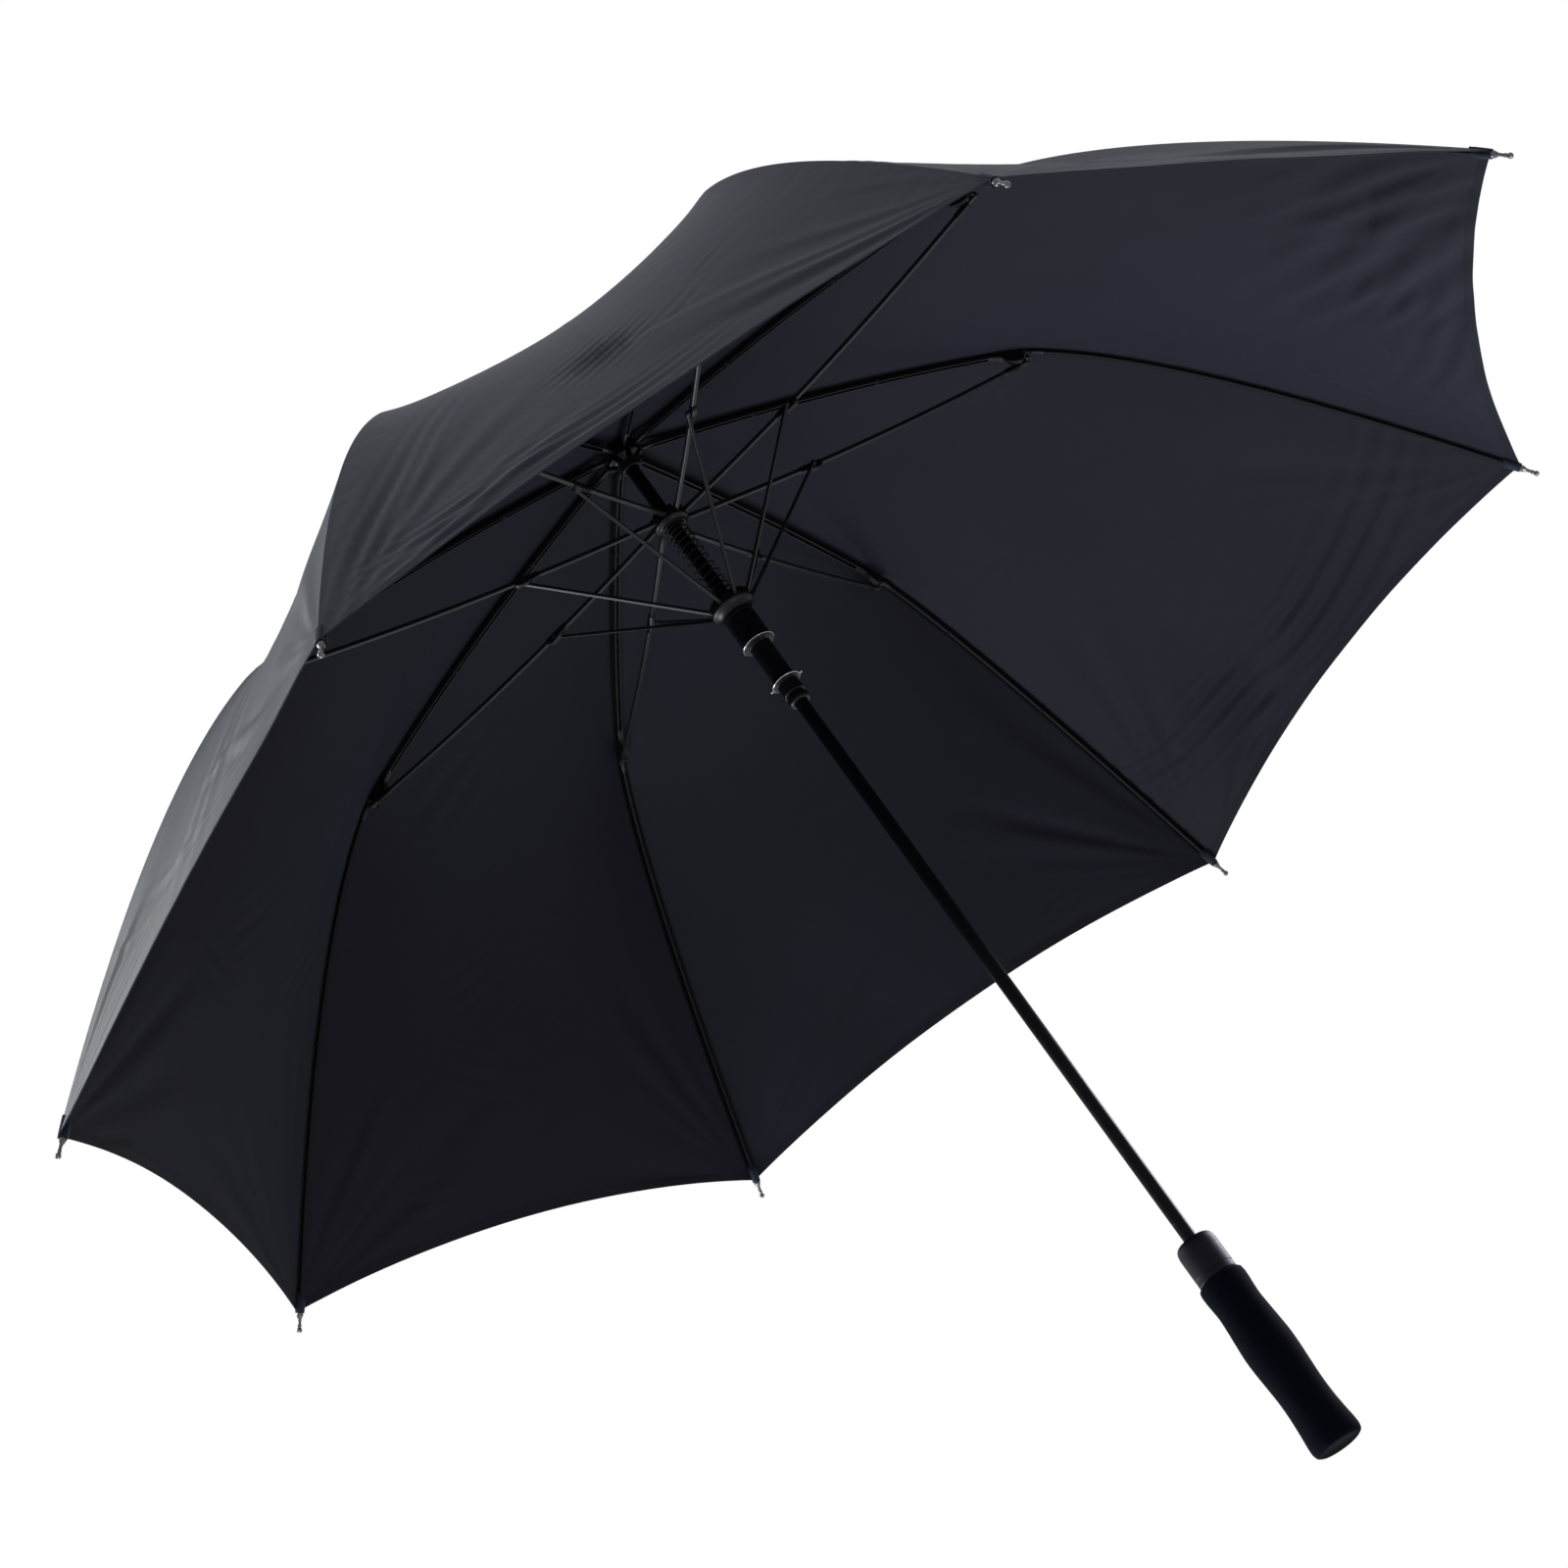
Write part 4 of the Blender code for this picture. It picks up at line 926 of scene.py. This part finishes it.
def build_upper_ribs():
    bm = bmesh.new()
    sec = channel(0.0021, 0.0023, 0.00055)
    ts = np.linspace(0.035, 0.955, 42)
    add_loft(bm, [at_section(upper_axis, t, sec) for t in ts])
    # tongue with the eye that the crown wire threads
    x0, z0, d0 = upper_axis(0.0)
    add_plate(bm, rounded([(-0.0026, -0.0012), (-0.0012, -0.0021), (0.0150, -0.0014), (0.0150, 0.0014), (-0.0012, 0.0021),
                           (-0.0026, 0.0012)], 0.0009, True), -0.0012, 0.0012, 0.0002, (x0, z0), d0)
    add_pin(bm, upper_axis(0.035)[:2], -0.0019, 0.0019, 0.0007, 0.0011)
    ob = make("rib_channel", to_mesh(bm, "rib_channel"), STEEL, 32)
    for o in around(ob, "rib_channel", "upper_rib_{k}"):
        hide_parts("upper_rib_" + o.name.split("_")[-1])

    # moulded connector: sleeve over the channel's end, boss for the stretcher, fork for the rod
    bm = bmesh.new()
    x, z, d = upper_axis(0.965)
    out = rounded([(-0.0175, 0.0026), (-0.0185, 0.0020), (-0.0185, -0.0020), (-0.0150, -0.0028), (-0.0090, -0.0036),
                   (-0.0045, -0.0085), (0.0010, -0.0098), (0.0075, -0.0094), (0.0098, -0.0068), (0.0106, -0.0030),
                   (0.0106, 0.0016), (0.0090, 0.0026)], 0.0016, True, 4)
    add_plate(bm, out[::-1] if polygon_area(out) < 0 else out, -0.00235, 0.00235, 0.00045, (x, z), d)
    # ribs moulded on its sides
    for s in (-1, 1):
        for u in (-0.0150, -0.0118):
            add_plate(bm, rounded([(u, -0.0021), (u + 0.0011, -0.0021), (u + 0.0011, 0.0021), (u, 0.0021)], 0.0004, True),
                      min(s * 0.0022, s * 0.0028), max(s * 0.0022, s * 0.0028), 0.00012, (x, z), d)
    con = make("rib_connector", to_mesh(bm, "rib_connector"), PLASTIC, 35)
    around(con, "rib_connector", "upper_rib_{k}")
    bm = bmesh.new()
    add_pin(bm, PIVOT, -0.0024, STRETCH_SIDE + 0.0017, 0.0010, 0.0019)
    add_pin(bm, ELBOW, -0.0024, 0.0024, 0.0009, 0.0015, 0.0004)
    pin = make("connector_rivets", to_mesh(bm, "connector_rivets"), RIVET, 35)
    around(pin, "connector_rivets", "upper_rib_{k}")
    # thread ties that hold the cloth to the rib
    bm = bmesh.new()
    for t in (0.30, 0.62):
        add_tie(bm, upper_axis, t, 0.0025, 0.0027, 0.0036)
    tie = make("rib_ties", to_mesh(bm, "rib_ties"), THREAD, 60)
    around(tie, "rib_ties", "upper_rib_{k}")


def polygon_area(p):
    return 0.5 * sum(a[0] * b[1] - b[0] * a[1] for a, b in zip(p, p[1:] + p[:1]))


def add_tie(bm, axis, t, w, down, up):
    """Three turns of thread round a rib, caught in the cloth above it."""
    x, z, d = axis(t)
    for turn in (-0.0007, 0.0, 0.0007):
        ring = []
        for i in range(18):
            a = 2 * pi * i / 18
            sx, sn = (w + 0.0002) * cos(a), (down + 0.0002) * sin(a)
            if sin(a) > 0:
                sn = up * sin(a)
            u = turn + 0.0002 * sin(a)
            ring.append((x + u * cos(d) - sn * sin(d), sx, z + u * sin(d) + sn * cos(d)))
        add_tube(bm, ring, 0.00026, 6, closed=True)


build_upper_ribs()


# ---------------------------------------------------------------- outer ribs and tips
def build_lower_ribs():
    bm = bmesh.new()
    t1 = before_tip(0.0120)
    count = 60
    pts, rad = [], []
    for i in range(count):
        t = 0.0045 + (t1 - 0.0045) * i / (count - 1)
        x, z, d = lower_axis(t)
        pts.append((x, 0, z))
        rad.append(ROD_R - 0.00020 * i / (count - 1))
    add_tube(bm, pts, rad, 14)
    rod = make("flex_rod", to_mesh(bm, "flex_rod"), RESIN, 60)
    for o in around(rod, "flex_rod", "lower_rib_{k}"):
        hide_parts("lower_rib_" + o.name.split("_")[-1])
    # moulded sleeve on the rod's inner end
    bm = bmesh.new()
    pts, rad = [], []
    for s, r in ((0.0105, 0.0017), (0.0107, 0.0023), (0.0120, 0.0024), (0.0180, 0.0024), (0.0240, 0.0023), (0.0260, 0.0021), (0.0264, 0.0017)):
        t = s / 0.4125
        x, z, d = lower_axis(t)
        pts.append((x, 0, z))
        rad.append(r)
    add_tube(bm, pts, rad, 18)
    sleeve = make("rod_sleeve", to_mesh(bm, "rod_sleeve"), PLASTIC, 40)
    around(sleeve, "rod_sleeve", "lower_rib_{k}")
    bm = bmesh.new()
    for t in (0.30, 0.58, 0.84):
        off = 0.0039 - 0.0009 * t
        add_tie(bm, lower_axis, t, 0.0018, 0.0018, off - 0.0003)
    tie = make("rod_ties", to_mesh(bm, "rod_ties"), THREAD, 60)
    around(tie, "rod_ties", "lower_rib_{k}")


build_lower_ribs()


def build_tips():
    d = lower_axis(1.0)[2]
    turn = Matrix.Translation((TIP_R, 0, TIP_Z)) @ Matrix.Rotation(-d, 4, "Y") @ Matrix.Rotation(pi / 2, 4, "Y")
    cap = rounded([(0.0, -0.0108), (0.0018, -0.0112), (0.0018, -0.0220), (0.00235, -0.0222), (0.0027, -0.0216), (0.0027, -0.0190),
                   (0.00245, -0.0186), (0.00245, -0.0176), (0.0027, -0.0172), (0.0027, -0.0108), (0.0021, -0.0090), (0.0014, -0.0078),
                   (0.00125, -0.0050), (0.00125, -0.0036), (0.0017, -0.0030)], 0.0004, False, 2)
    ball = [(0.0022 * cos(a), 0.0008 + 0.0022 * sin(a)) for a in np.linspace(-0.95, pi / 2, 12)]
    ball[-1] = (0.0, ball[-1][1])
    bm = bmesh.new()
    add_lathe(bm, cap + ball, 28, ring=False, matrix=turn)
    tip = make("tip_cap", to_mesh(bm, "tip_cap"), NICKEL, 35)
    for o in around(tip, "tip_cap", "lower_rib_{k}"):
        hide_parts("rib_tip_" + o.name.split("_")[-1])
    # the canopy's corner: a folded pocket of cloth stitched round the cap
    bm = bmesh.new()
    rings = []
    for s, w, n0, n1 in ((-0.0280, 0.0036, 0.0012, 0.0040), (-0.0250, 0.0040, -0.0022, 0.0041), (-0.0200, 0.0038, -0.0034, 0.0040),
                         (-0.0150, 0.0034, -0.0034, 0.0038), (-0.0122, 0.0031, -0.0032, 0.0036)):
        x, z, dd = lower_axis(before_tip(-s))
        ring = []
        for i in range(20):
            a = 2 * pi * i / 20
            mid_n, half_n = (n0 + n1) / 2, (n1 - n0) / 2
            sw, sn = w * np.sign(cos(a)) * abs(cos(a)) ** 0.8, mid_n + half_n * np.sign(sin(a)) * abs(sin(a)) ** 0.8
            ring.append((x - sin(dd) * sn, sw, z + cos(dd) * sn))
        rings.append(ring)
    inner = []
    for s, w, n0, n1 in ((-0.0124, 0.0028, -0.0029, 0.0033), (-0.0180, 0.0030, -0.0030, 0.0035)):
        x, z, dd = lower_axis(before_tip(-s))
        ring = []
        for i in range(20):
            a = 2 * pi * i / 20
            mid_n, half_n = (n0 + n1) / 2, (n1 - n0) / 2
            sw, sn = w * np.sign(cos(a)) * abs(cos(a)) ** 0.8, mid_n + half_n * np.sign(sin(a)) * abs(sin(a)) ** 0.8
            ring.append((x - sin(dd) * sn, sw, z + cos(dd) * sn))
        inner.append(ring)
    add_loft(bm, rings + inner)
    me = to_mesh(bm, "corner_pocket")
    for label in ("weave", "edges"):
        layer = me.uv_layers.new(name=label)
        co = np.array([me.vertices[l.vertex_index].co for l in me.loops])
        data = np.stack([co[:, 1], co[:, 0]], 1) if label == "weave" else np.full((len(co), 2), 0.05)
        layer.data.foreach_set("uv", data.astype(np.float32).ravel())
    pocket = make("corner_pocket", me, CLOTH_OUT, 50)
    around(pocket, "corner_pocket", "lower_rib_{k}")


build_tips()


# ---------------------------------------------------------------- stretchers and links
def build_stretchers():
    bm = bmesh.new()
    n = 36
    hi, lo = [], []
    for i in range(n + 1):
        t = 0.012 + (0.988 - 0.012) * i / n
        u, v = STRETCH_LEN * t, -4 * STRETCH_SAG * t * (1 - t)
        half = 0.0017
        hi.append((u, v + half))
        lo.append((u, v - half))
    eye0 = [(0.0023 * cos(a), 0.0023 * sin(a)) for a in np.linspace(radians(140), radians(220), 5)]
    eye0 = [(0.0024 * cos(a), 0.0024 * sin(a)) for a in np.linspace(radians(55), radians(305), 11)]
    eye1 = [(STRETCH_LEN + 0.0024 * cos(a), 0.0024 * sin(a)) for a in np.linspace(radians(-125), radians(125), 11)]
    outline = eye0 + lo[1:-1] + eye1 + hi[1:-1][::-1]
    side = STRETCH_SIDE
    add_plate(bm, outline, side - 0.0016, side + 0.0016, 0.0004, HUB, STRETCH_TILT)
    bar = make("stretcher_bar", to_mesh(bm, "stretcher_bar"), STEEL, 32)
    for o in around(bar, "stretcher_bar", "stretcher_{k}"):
        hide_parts("stretcher_" + o.name.split("_")[-1])
    # moulded clip that carries the link's rivet, and a sleeve near the connector
    bm = bmesh.new()
    x, z, d = stretch_axis(LINK_AT[0] / STRETCH_LEN)
    clip = rounded([(-0.0130, -0.0022), (-0.0040, -0.0036), (0.0010, -0.0044), (0.0052, -0.0044), (0.0078, -0.0023), (0.0078, 0.0022),
                    (-0.0130, 0.0022)], 0.0014, True, 4)
    add_plate(bm, clip, side - 0.0018, side + 0.0023, 0.0005, (x, z), d)
    x2, z2, d2 = stretch_axis(0.955)
    add_plate(bm, rounded([(-0.0070, -0.0021), (0.0070, -0.0025), (0.0070, 0.0025), (-0.0070, 0.0021)], 0.0009, True, 3),
              side - 0.0018, side + 0.0020, 0.0004, (x2, z2), d2)
    clip_ob = make("stretcher_clip", to_mesh(bm, "stretcher_clip"), PLASTIC, 35)
    around(clip_ob, "stretcher_clip", "stretcher_{k}")
    bm = bmesh.new()
    add_pin(bm, LINK_TOP, -0.0011, side + 0.0024, 0.0008, 0.0016)
    pin = make("link_rivet", to_mesh(bm, "link_rivet"), RIVET, 35)
    around(pin, "link_rivet", "stretcher_{k}")


build_stretchers()


def build_links():
    bm = bmesh.new()
    outline = stadium(LINK_LEN, 0.0020, 0.0022, 0.00125, 14)
    if polygon_area(outline) < 0:
        outline = outline[::-1]
    add_plate(bm, outline, LINK_SIDE - 0.0014, LINK_SIDE + 0.0014, 0.00035, RUNNER_PIVOT, LINK_TILT)
    ob = make("link_bar", to_mesh(bm, "link_bar"), STEEL, 32)
    for o in around(ob, "link_bar", "link_{k}"):
        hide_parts("link_" + o.name.split("_")[-1])


build_links()


# ---------------------------------------------------------------- shaft line
def wire_ring(name, radius, z, r, mat, body):
    """Binding wire that threads eight hinge eyes, its ends twisted together."""
    bm = bmesh.new()
    pts = []
    for i in range(96):
        a = 2 * pi * i / 96
        rr = radius + 0.00012 * sin(8 * a)
        pts.append((rr * cos(a), rr * sin(a), z))
    add_tube(bm, pts, r, 8, closed=True)
    a0 = radians(22.5)
    pts = []
    for i in range(14):
        t = i / 13
        tw = 4 * pi * t
        c, s = (radius + 0.0004 + 0.0006 * t) * cos(a0 + 0.25 * t), (radius + 0.0004 + 0.0006 * t) * sin(a0 + 0.25 * t)
        pts.append((c + r * cos(tw), s + r * sin(tw), z + r * 1.2 + 0.0008 * t))
    add_tube(bm, pts, r * 0.9, 7)
    ob = make(name, to_mesh(bm, name), mat, 60)
    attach(ob, body)
    return ob


shaft = lathe("shaft_tube", rounded([(SHAFT_R, 0.9340), (SHAFT_R, 0.9030), (0.00498, 0.9026), (0.00498, 0.9016), (SHAFT_R, 0.9012),
                                     (SHAFT_R, 0.1862), (0.00500, 0.1858), (0.00500, 0.1848), (SHAFT_R, 0.1844),
                                     (SHAFT_R, 0.0085), (0.0043, 0.0085), (0.0043, 0.9340)], 0.0003, True, 3), SHAFT_MAT, 80, True, 30)
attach(shaft, "frame"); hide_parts("shaft")

ferrule = lathe("ferrule_point", rounded([(0.0, 0.9900), (0.0020, 0.9899), (0.0034, 0.9888), (0.0041, 0.9868), (0.0043, 0.9780),
                                          (0.0046, 0.9600), (0.0047, 0.9560), (0.0058, 0.9545), (0.0061, 0.9520), (0.0061, 0.9490),
                                          (0.0057, 0.9465), (0.0050, 0.9450), (0.0053, 0.9425), (0.0064, 0.9385), (0.0072, 0.9358),
                                          (0.0071, 0.9350), (0.0039, 0.9350), (0.0039, 0.9160), (0.0, 0.9160)], 0.0008, False, 4),
                PLASTIC, 64, False, 30)
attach(ferrule, "frame"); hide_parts("ferrule")

cap = lathe("top_cap_disc", rounded([(SLIDE_R, 0.9345), (0.0100, 0.9344), (0.0118, 0.9338), (0.0124, 0.9330), (0.0152, 0.9314),
                                     (0.0168, 0.9298), (0.0176, 0.9284), (0.0172, 0.9279), (SLIDE_R, 0.9279)], 0.0006, True, 4),
            PLASTIC, 80, True, 30)
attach(cap, "frame"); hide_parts("top_cap")

crown = lathe("crown_block", rounded([(SLIDE_R, 0.9262), (0.0145, 0.9262), (0.0155, 0.9252), (0.0155, 0.9138), (0.0148, 0.9128),
                                      (0.0112, 0.9120), (0.0098, 0.9104), (0.0088, 0.9070), (0.0083, 0.9044), (0.0078, 0.9040),
                                      (SLIDE_R, 0.9040)], 0.0007, True, 3), PLASTIC, 96, True, 30)
boolean(crown, [((0.0084, -0.0025, 0.9105), (0.0200, 0.0025, 0.9247), 2 * pi * k / RIBS) for k in range(RIBS)])
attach(crown, "frame"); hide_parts("crown_notch")
wire_ring("crown_wire", 0.0125, 0.9205, 0.00040, WIRE_MAT, "frame")

# washers that grip the cloth between crown and cap
bm = bmesh.new()
add_lathe(bm, rounded([(0.0057, 0.92632), (0.0151, 0.92632), (0.0154, 0.92648), (0.0151, 0.92664), (0.0057, 0.92664)], 0.0001, True, 2), 72)
add_lathe(bm, rounded([(0.0057, 0.92746), (0.0160, 0.92746), (0.0164, 0.92764), (0.0160, 0.92784), (0.0057, 0.92784)], 0.0001, True, 2), 72)
washer = make("crown_washers", to_mesh(bm, "crown_washers"), PLASTIC, 30)
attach(washer, "frame")

up = lathe("upper_runner_body", rounded([(SLIDE_R, 0.8580), (0.0076, 0.8580), (0.0084, 0.8572), (0.0084, 0.8560), (0.0135, 0.8560),
                                         (0.0145, 0.8551), (0.0145, 0.8464), (0.0138, 0.8456), (0.0115, 0.8447), (0.0106, 0.8440),
                                         (0.0105, 0.8425), (SLIDE_R, 0.8425)], 0.0006, True, 3), PLASTIC, 96, True, 30)
boolean(up, [((0.0088, STRETCH_SIDE - 0.0020, 0.8473), (0.0200, STRETCH_SIDE + 0.0020, 0.8600), 2 * pi * k / RIBS) for k in range(RIBS)])
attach(up, "upper_runner"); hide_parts("upper_runner")
wire_ring("upper_runner_wire", 0.0124, HUB[1], 0.00036, WIRE_MAT, "upper_runner")

GROOVE = LATCH_Z + TRAVEL
low = lathe("lower_runner_body", rounded([
    (SLIDE_R, 0.7660), (0.0172, 0.7660), (0.0180, 0.7652), (0.0180, 0.7590), (0.0172, 0.7578), (0.0148, 0.7562), (0.0132, 0.7546),
    (0.0121, 0.7528), (0.0120, 0.7500), (0.0117, 0.7494), (0.0117, 0.7480), (0.0120, 0.7474), (0.0120, 0.7256), (0.0127, 0.7248),
    (0.0127, 0.7226), (0.0118, 0.7220), (0.0085, 0.7216), (0.0085, 0.6867), (0.0110, 0.6867), (0.0110, 0.6837), (0.0085, 0.6837),
    (0.0085, GROOVE + 0.0016), (0.0072, GROOVE + 0.0016), (0.0072, GROOVE - 0.0016), (0.0085, GROOVE - 0.0016),
    (0.0085, 0.6661), (0.0074, 0.6646), (SLIDE_R, 0.6646)], 0.0006, True, 3), PLASTIC, 96, True, 30)
boolean(low, [((0.0139, LINK_SIDE - 0.0018, 0.7594), (0.0230, LINK_SIDE + 0.0018, 0.7700), 2 * pi * k / RIBS) for k in range(RIBS)]
        + [((0.0111, -0.0012, 0.7285), (0.0140, 0.0012, 0.7440), 2 * pi * (k + 0.5) / RIBS) for k in range(RIBS)])
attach(low, "lower_runner"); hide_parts("lower_runner")
wire_ring("lower_runner_wire", 0.0166, RUNNER_PIVOT[1], 0.00036, WIRE_MAT, "lower_runner")


def build_runner_rings():
    """Plated snap rings on the runner: one in the step, one on the stop, the stop ring with two turned-out ends."""
    bm = bmesh.new()
    for z, rad, wire in ((0.7237, 0.0128, 0.00060), (0.6852, 0.0112, 0.00075)):
        pts = [(rad * cos(a), rad * sin(a), z) for a in np.linspace(0, 2 * pi, 90, endpoint=False)]
        add_tube(bm, pts, wire, 10, closed=True)
    for turn in (19.0, 199.0):
        a = radians(turn)
        path, rr = [], []
        for r, dz, size in ((0.0096, 0, 0.0008), (0.0112, 0, 0.0008), (0.0122, 0, 0.0010), (0.0130, 0.0001, 0.0012), (0.0137, 0.0001, 0.0010), (0.0141, 0.0001, 0.0005)):
            path.append((r * cos(a), r * sin(a), 0.6852 + dz))
            rr.append(size)
        add_tube(bm, path, rr, 14)
    ob = make("runner_rings", to_mesh(bm, "runner_rings"), CHROME, 50)
    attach(ob, "lower_runner")


build_runner_rings()


def build_spring():
    bm = bmesh.new()
    low_z, high_z = 0.7660 + 0.0009, 0.8425 - 0.0009
    coils, per = 13, 28
    pts = []
    for i in range(coils * per + 1):
        t = i / (coils * per)
        turn = 2 * pi * coils * t
        lead = t - sin(2 * pi * t) / (2 * pi) * 0.35
        pts.append((0.0086 * cos(turn), 0.0086 * sin(turn), low_z + (high_z - low_z) * lead))
    add_tube(bm, pts, 0.00085, 9)
    ob = make("spring_coil", to_mesh(bm, "spring_coil"), SPRING_MAT, 60)
    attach(ob, "lower_runner")
    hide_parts("opening_spring")
    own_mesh(ob)


build_spring()


# ---------------------------------------------------------------- handle
CR = 0.01475
collar = lathe("collar_shell", rounded([
    (0.0090, 0.1682), (0.0098, 0.1690), (0.0104, 0.1690), (0.0120, 0.1685), (0.0134, 0.1672), (0.0143, 0.1650), (0.01475, 0.1615),
    (CR, 0.1600), (CR, 0.1432), (0.01445, 0.1428), (0.01445, 0.1422), (CR, 0.1418), (CR, 0.1380), (0.0141, 0.1370), (SLIDE_R, 0.1370),
    (SLIDE_R, 0.1480), (0.0090, 0.1480), (0.0090, LATCH_Z - 0.0016), (0.0136, LATCH_Z - 0.0016), (0.0136, LATCH_Z + 0.0016),
    (0.0090, LATCH_Z + 0.0016)], 0.0008, True, 4), COLLAR_MAT, 112, True, 30)
boolean(collar, [((0.0108, -0.0045, 0.1495), (0.0200, 0.0045, 0.1652), radians(BUTTON_DEG))])
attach(collar, "frame"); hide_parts("handle_collar")


def build_button():
    """Thumb button: crowned face with three grip bars."""
    bm = bmesh.new()
    nu, nv = 26, 44
    def face(u, v):
        edge = max(abs(u) ** 5, abs(v) ** 9)
        x = 0.0149 + 0.0014 * sqrt(max(0.0, 1 - u * u * 0.9)) * (1 - edge) * (1 - 0.3 * v ** 4)
        for c in (-0.34, 0.0, 0.34):
            x += 0.00022 * np.exp(-((v - c) / 0.055) ** 2) * (1 - abs(u) ** 4)
        return x
    def sq(a):
        return a
    front = [[bm.verts.new((face(-1 + 2 * i / nu, -1 + 2 * j / nv), 0.0041 * (-1 + 2 * i / nu), 0.15735 + 0.0074 * (-1 + 2 * j / nv)))
              for j in range(nv + 1)] for i in range(nu + 1)]
    back = [[bm.verts.new((0.0134, v.co.y, v.co.z)) for v in row] for row in front]
    for i in range(nu):
        for j in range(nv):
            bm.faces.new((front[i][j], front[i + 1][j], front[i + 1][j + 1], front[i][j + 1]))
            bm.faces.new((back[i][j], back[i][j + 1], back[i + 1][j + 1], back[i + 1][j]))
    rim = [(i, 0) for i in range(nu)] + [(nu, j) for j in range(nv)] + \
          [(i, nv) for i in range(nu, 0, -1)] + [(0, j) for j in range(nv, 0, -1)]
    for a, b in zip(rim, rim[1:] + rim[:1]):
        bm.faces.new((front[a[0]][a[1]], back[a[0]][a[1]], back[b[0]][b[1]], front[b[0]][b[1]]))
    bmesh.ops.rotate(bm, verts=bm.verts, cent=(0, 0, 0), matrix=Matrix.Rotation(radians(BUTTON_DEG), 3, "Z"))
    ob = make("thumb_button", to_mesh(bm, "thumb_button"), BUTTON_MAT, 45)
    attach(ob, "release_button"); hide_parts("release_button")


build_button()


def build_grip():
    """Contoured foam sleeve, its skin a little uneven and pressed in by use."""
    prof = [(0.0158, 0.1364), (0.0166, 0.1357), (0.0170, 0.1342), (0.0172, 0.1290), (0.0167, 0.1215), (0.0163, 0.1150), (0.0167, 0.1050),
            (0.0175, 0.0940), (0.0183, 0.0800), (0.0181, 0.0700), (0.0174, 0.0580), (0.0167, 0.0430), (0.0169, 0.0320), (0.0178, 0.0190),
            (0.0187, 0.0085), (0.0187, 0.0045), (0.0176, 0.0012), (0.0155, 0.0)]
    p = np.array([(r, 0, z) for r, z in prof])
    s = arc_of(p)
    q = resample(p, np.linspace(0, s[-1], 110))
    q[0], q[-1] = p[0], p[-1]
    outer = [(r, z) for r, _, z in q]
    profile = [(0.0, 0.0060), (0.0124, 0.0060), (0.0124, 0.1364)] + outer + [(0.0146, 0.0), (0.0140, 0.0004), (0.0, 0.0004)]
    bm = bmesh.new()
    add_lathe(bm, profile, 96, ring=False)
    rng = np.random.default_rng(5)
    waves = [(rng.integers(1, 6), rng.uniform(20, 130), rng.uniform(0, 6.3), rng.uniform(0.3, 1)) for _ in range(8)]
    for v in bm.verts:
        r = hypot(v.co.x, v.co.y)
        if r > 0.0150 and 0.002 < v.co.z < 0.1345:
            a = atan2(v.co.y, v.co.x)
            d = sum(w * sin(n * a + kz * v.co.z + ph) for n, kz, ph, w in waves) * 0.00003
            v.co.x *= (r + d) / r
            v.co.y *= (r + d) / r
    ob = make("foam_sleeve", to_mesh(bm, "foam_sleeve"), FOAM, 50)
    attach(ob, "frame"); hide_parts("foam_grip")


build_grip()

for node, mat in (("latch_plate", LATCH_MAT), ("handle_core", CORE_MAT)):
    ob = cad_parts[node]
    if not ob.data.materials:
        ob.data.materials.append(mat)
    for s in ob.material_slots:
        s.material = mat

# ---------------------------------------------------------------- floor, light, tone
bm = bmesh.new()
bmesh.ops.create_grid(bm, x_segments=8, y_segments=8, size=30.0)
me = bpy.data.meshes.new("floor")
bm.to_mesh(me)
bm.free()
floor = bpy.data.objects.new("floor", me)
floor.location = (0, 0, -0.86)
bpy.context.scene.collection.objects.link(floor)
n = Nodes("floor_paper")
n.finish(n.mix(n.noise(0.8, 3.0), (0.90, 0.90, 0.90), (0.92, 0.92, 0.92)), 0.9)
n.b.inputs["Specular IOR Level"].default_value = 0.1
floor.data.materials.append(n.m)

world = bpy.data.worlds.new("studio")
world.use_nodes = True
world.node_tree.nodes["Background"].inputs["Color"].default_value = (1.0, 1.0, 1.0, 1.0)
world.node_tree.nodes["Background"].inputs["Strength"].default_value = 1.0
bpy.context.scene.world = world


def softbox(name, right, high, near, size, power, tint=(1, 1, 1), aim=(0, 0, 0.62), spread=180.0):
    """An area light placed by the camera's own right, up and toward directions from the canopy's middle."""
    axes = CAM_ROT
    target = Vector(aim)
    pos = Vector((0, 0, 0.62)) + axes @ Vector((right, high, near))
    data = bpy.data.lights.new(name, "AREA")
    data.shape, data.size, data.size_y = "RECTANGLE", size[0], size[1]
    data.energy, data.color = power, tint
    data.spread = radians(spread)
    ob = bpy.data.objects.new(name, data)
    ob.matrix_world = Matrix.Translation(pos) @ (target - pos).to_track_quat("-Z", "Y").to_matrix().to_4x4()
    ob.visible_camera = False
    bpy.context.scene.collection.objects.link(ob)


softbox("key", -3.2, -0.2, -0.6, (1.5, 1.6), 94.0)
softbox("side", 0.95, -0.50, 0.35, (0.45, 0.45), 2.4, (0.97, 0.96, 1.0), (0.508, 0.210, 0.620), 46.0)
softbox("rim", -2.00, -0.30, -1.90, (1.2, 1.2), 29.0)
softbox("under", -0.60, -1.72, -0.10, (0.8, 0.8), 46.0, (0.90, 0.94, 1.0))
softbox("edge", 0.59, -0.09, -0.14, (0.36, 0.36), 1.05, (0.88, 0.86, 1.0), (0, 0, 0.150), 60.0)
bpy.context.scene.view_settings.view_transform = "Standard"

bpy.context.view_layer.update()
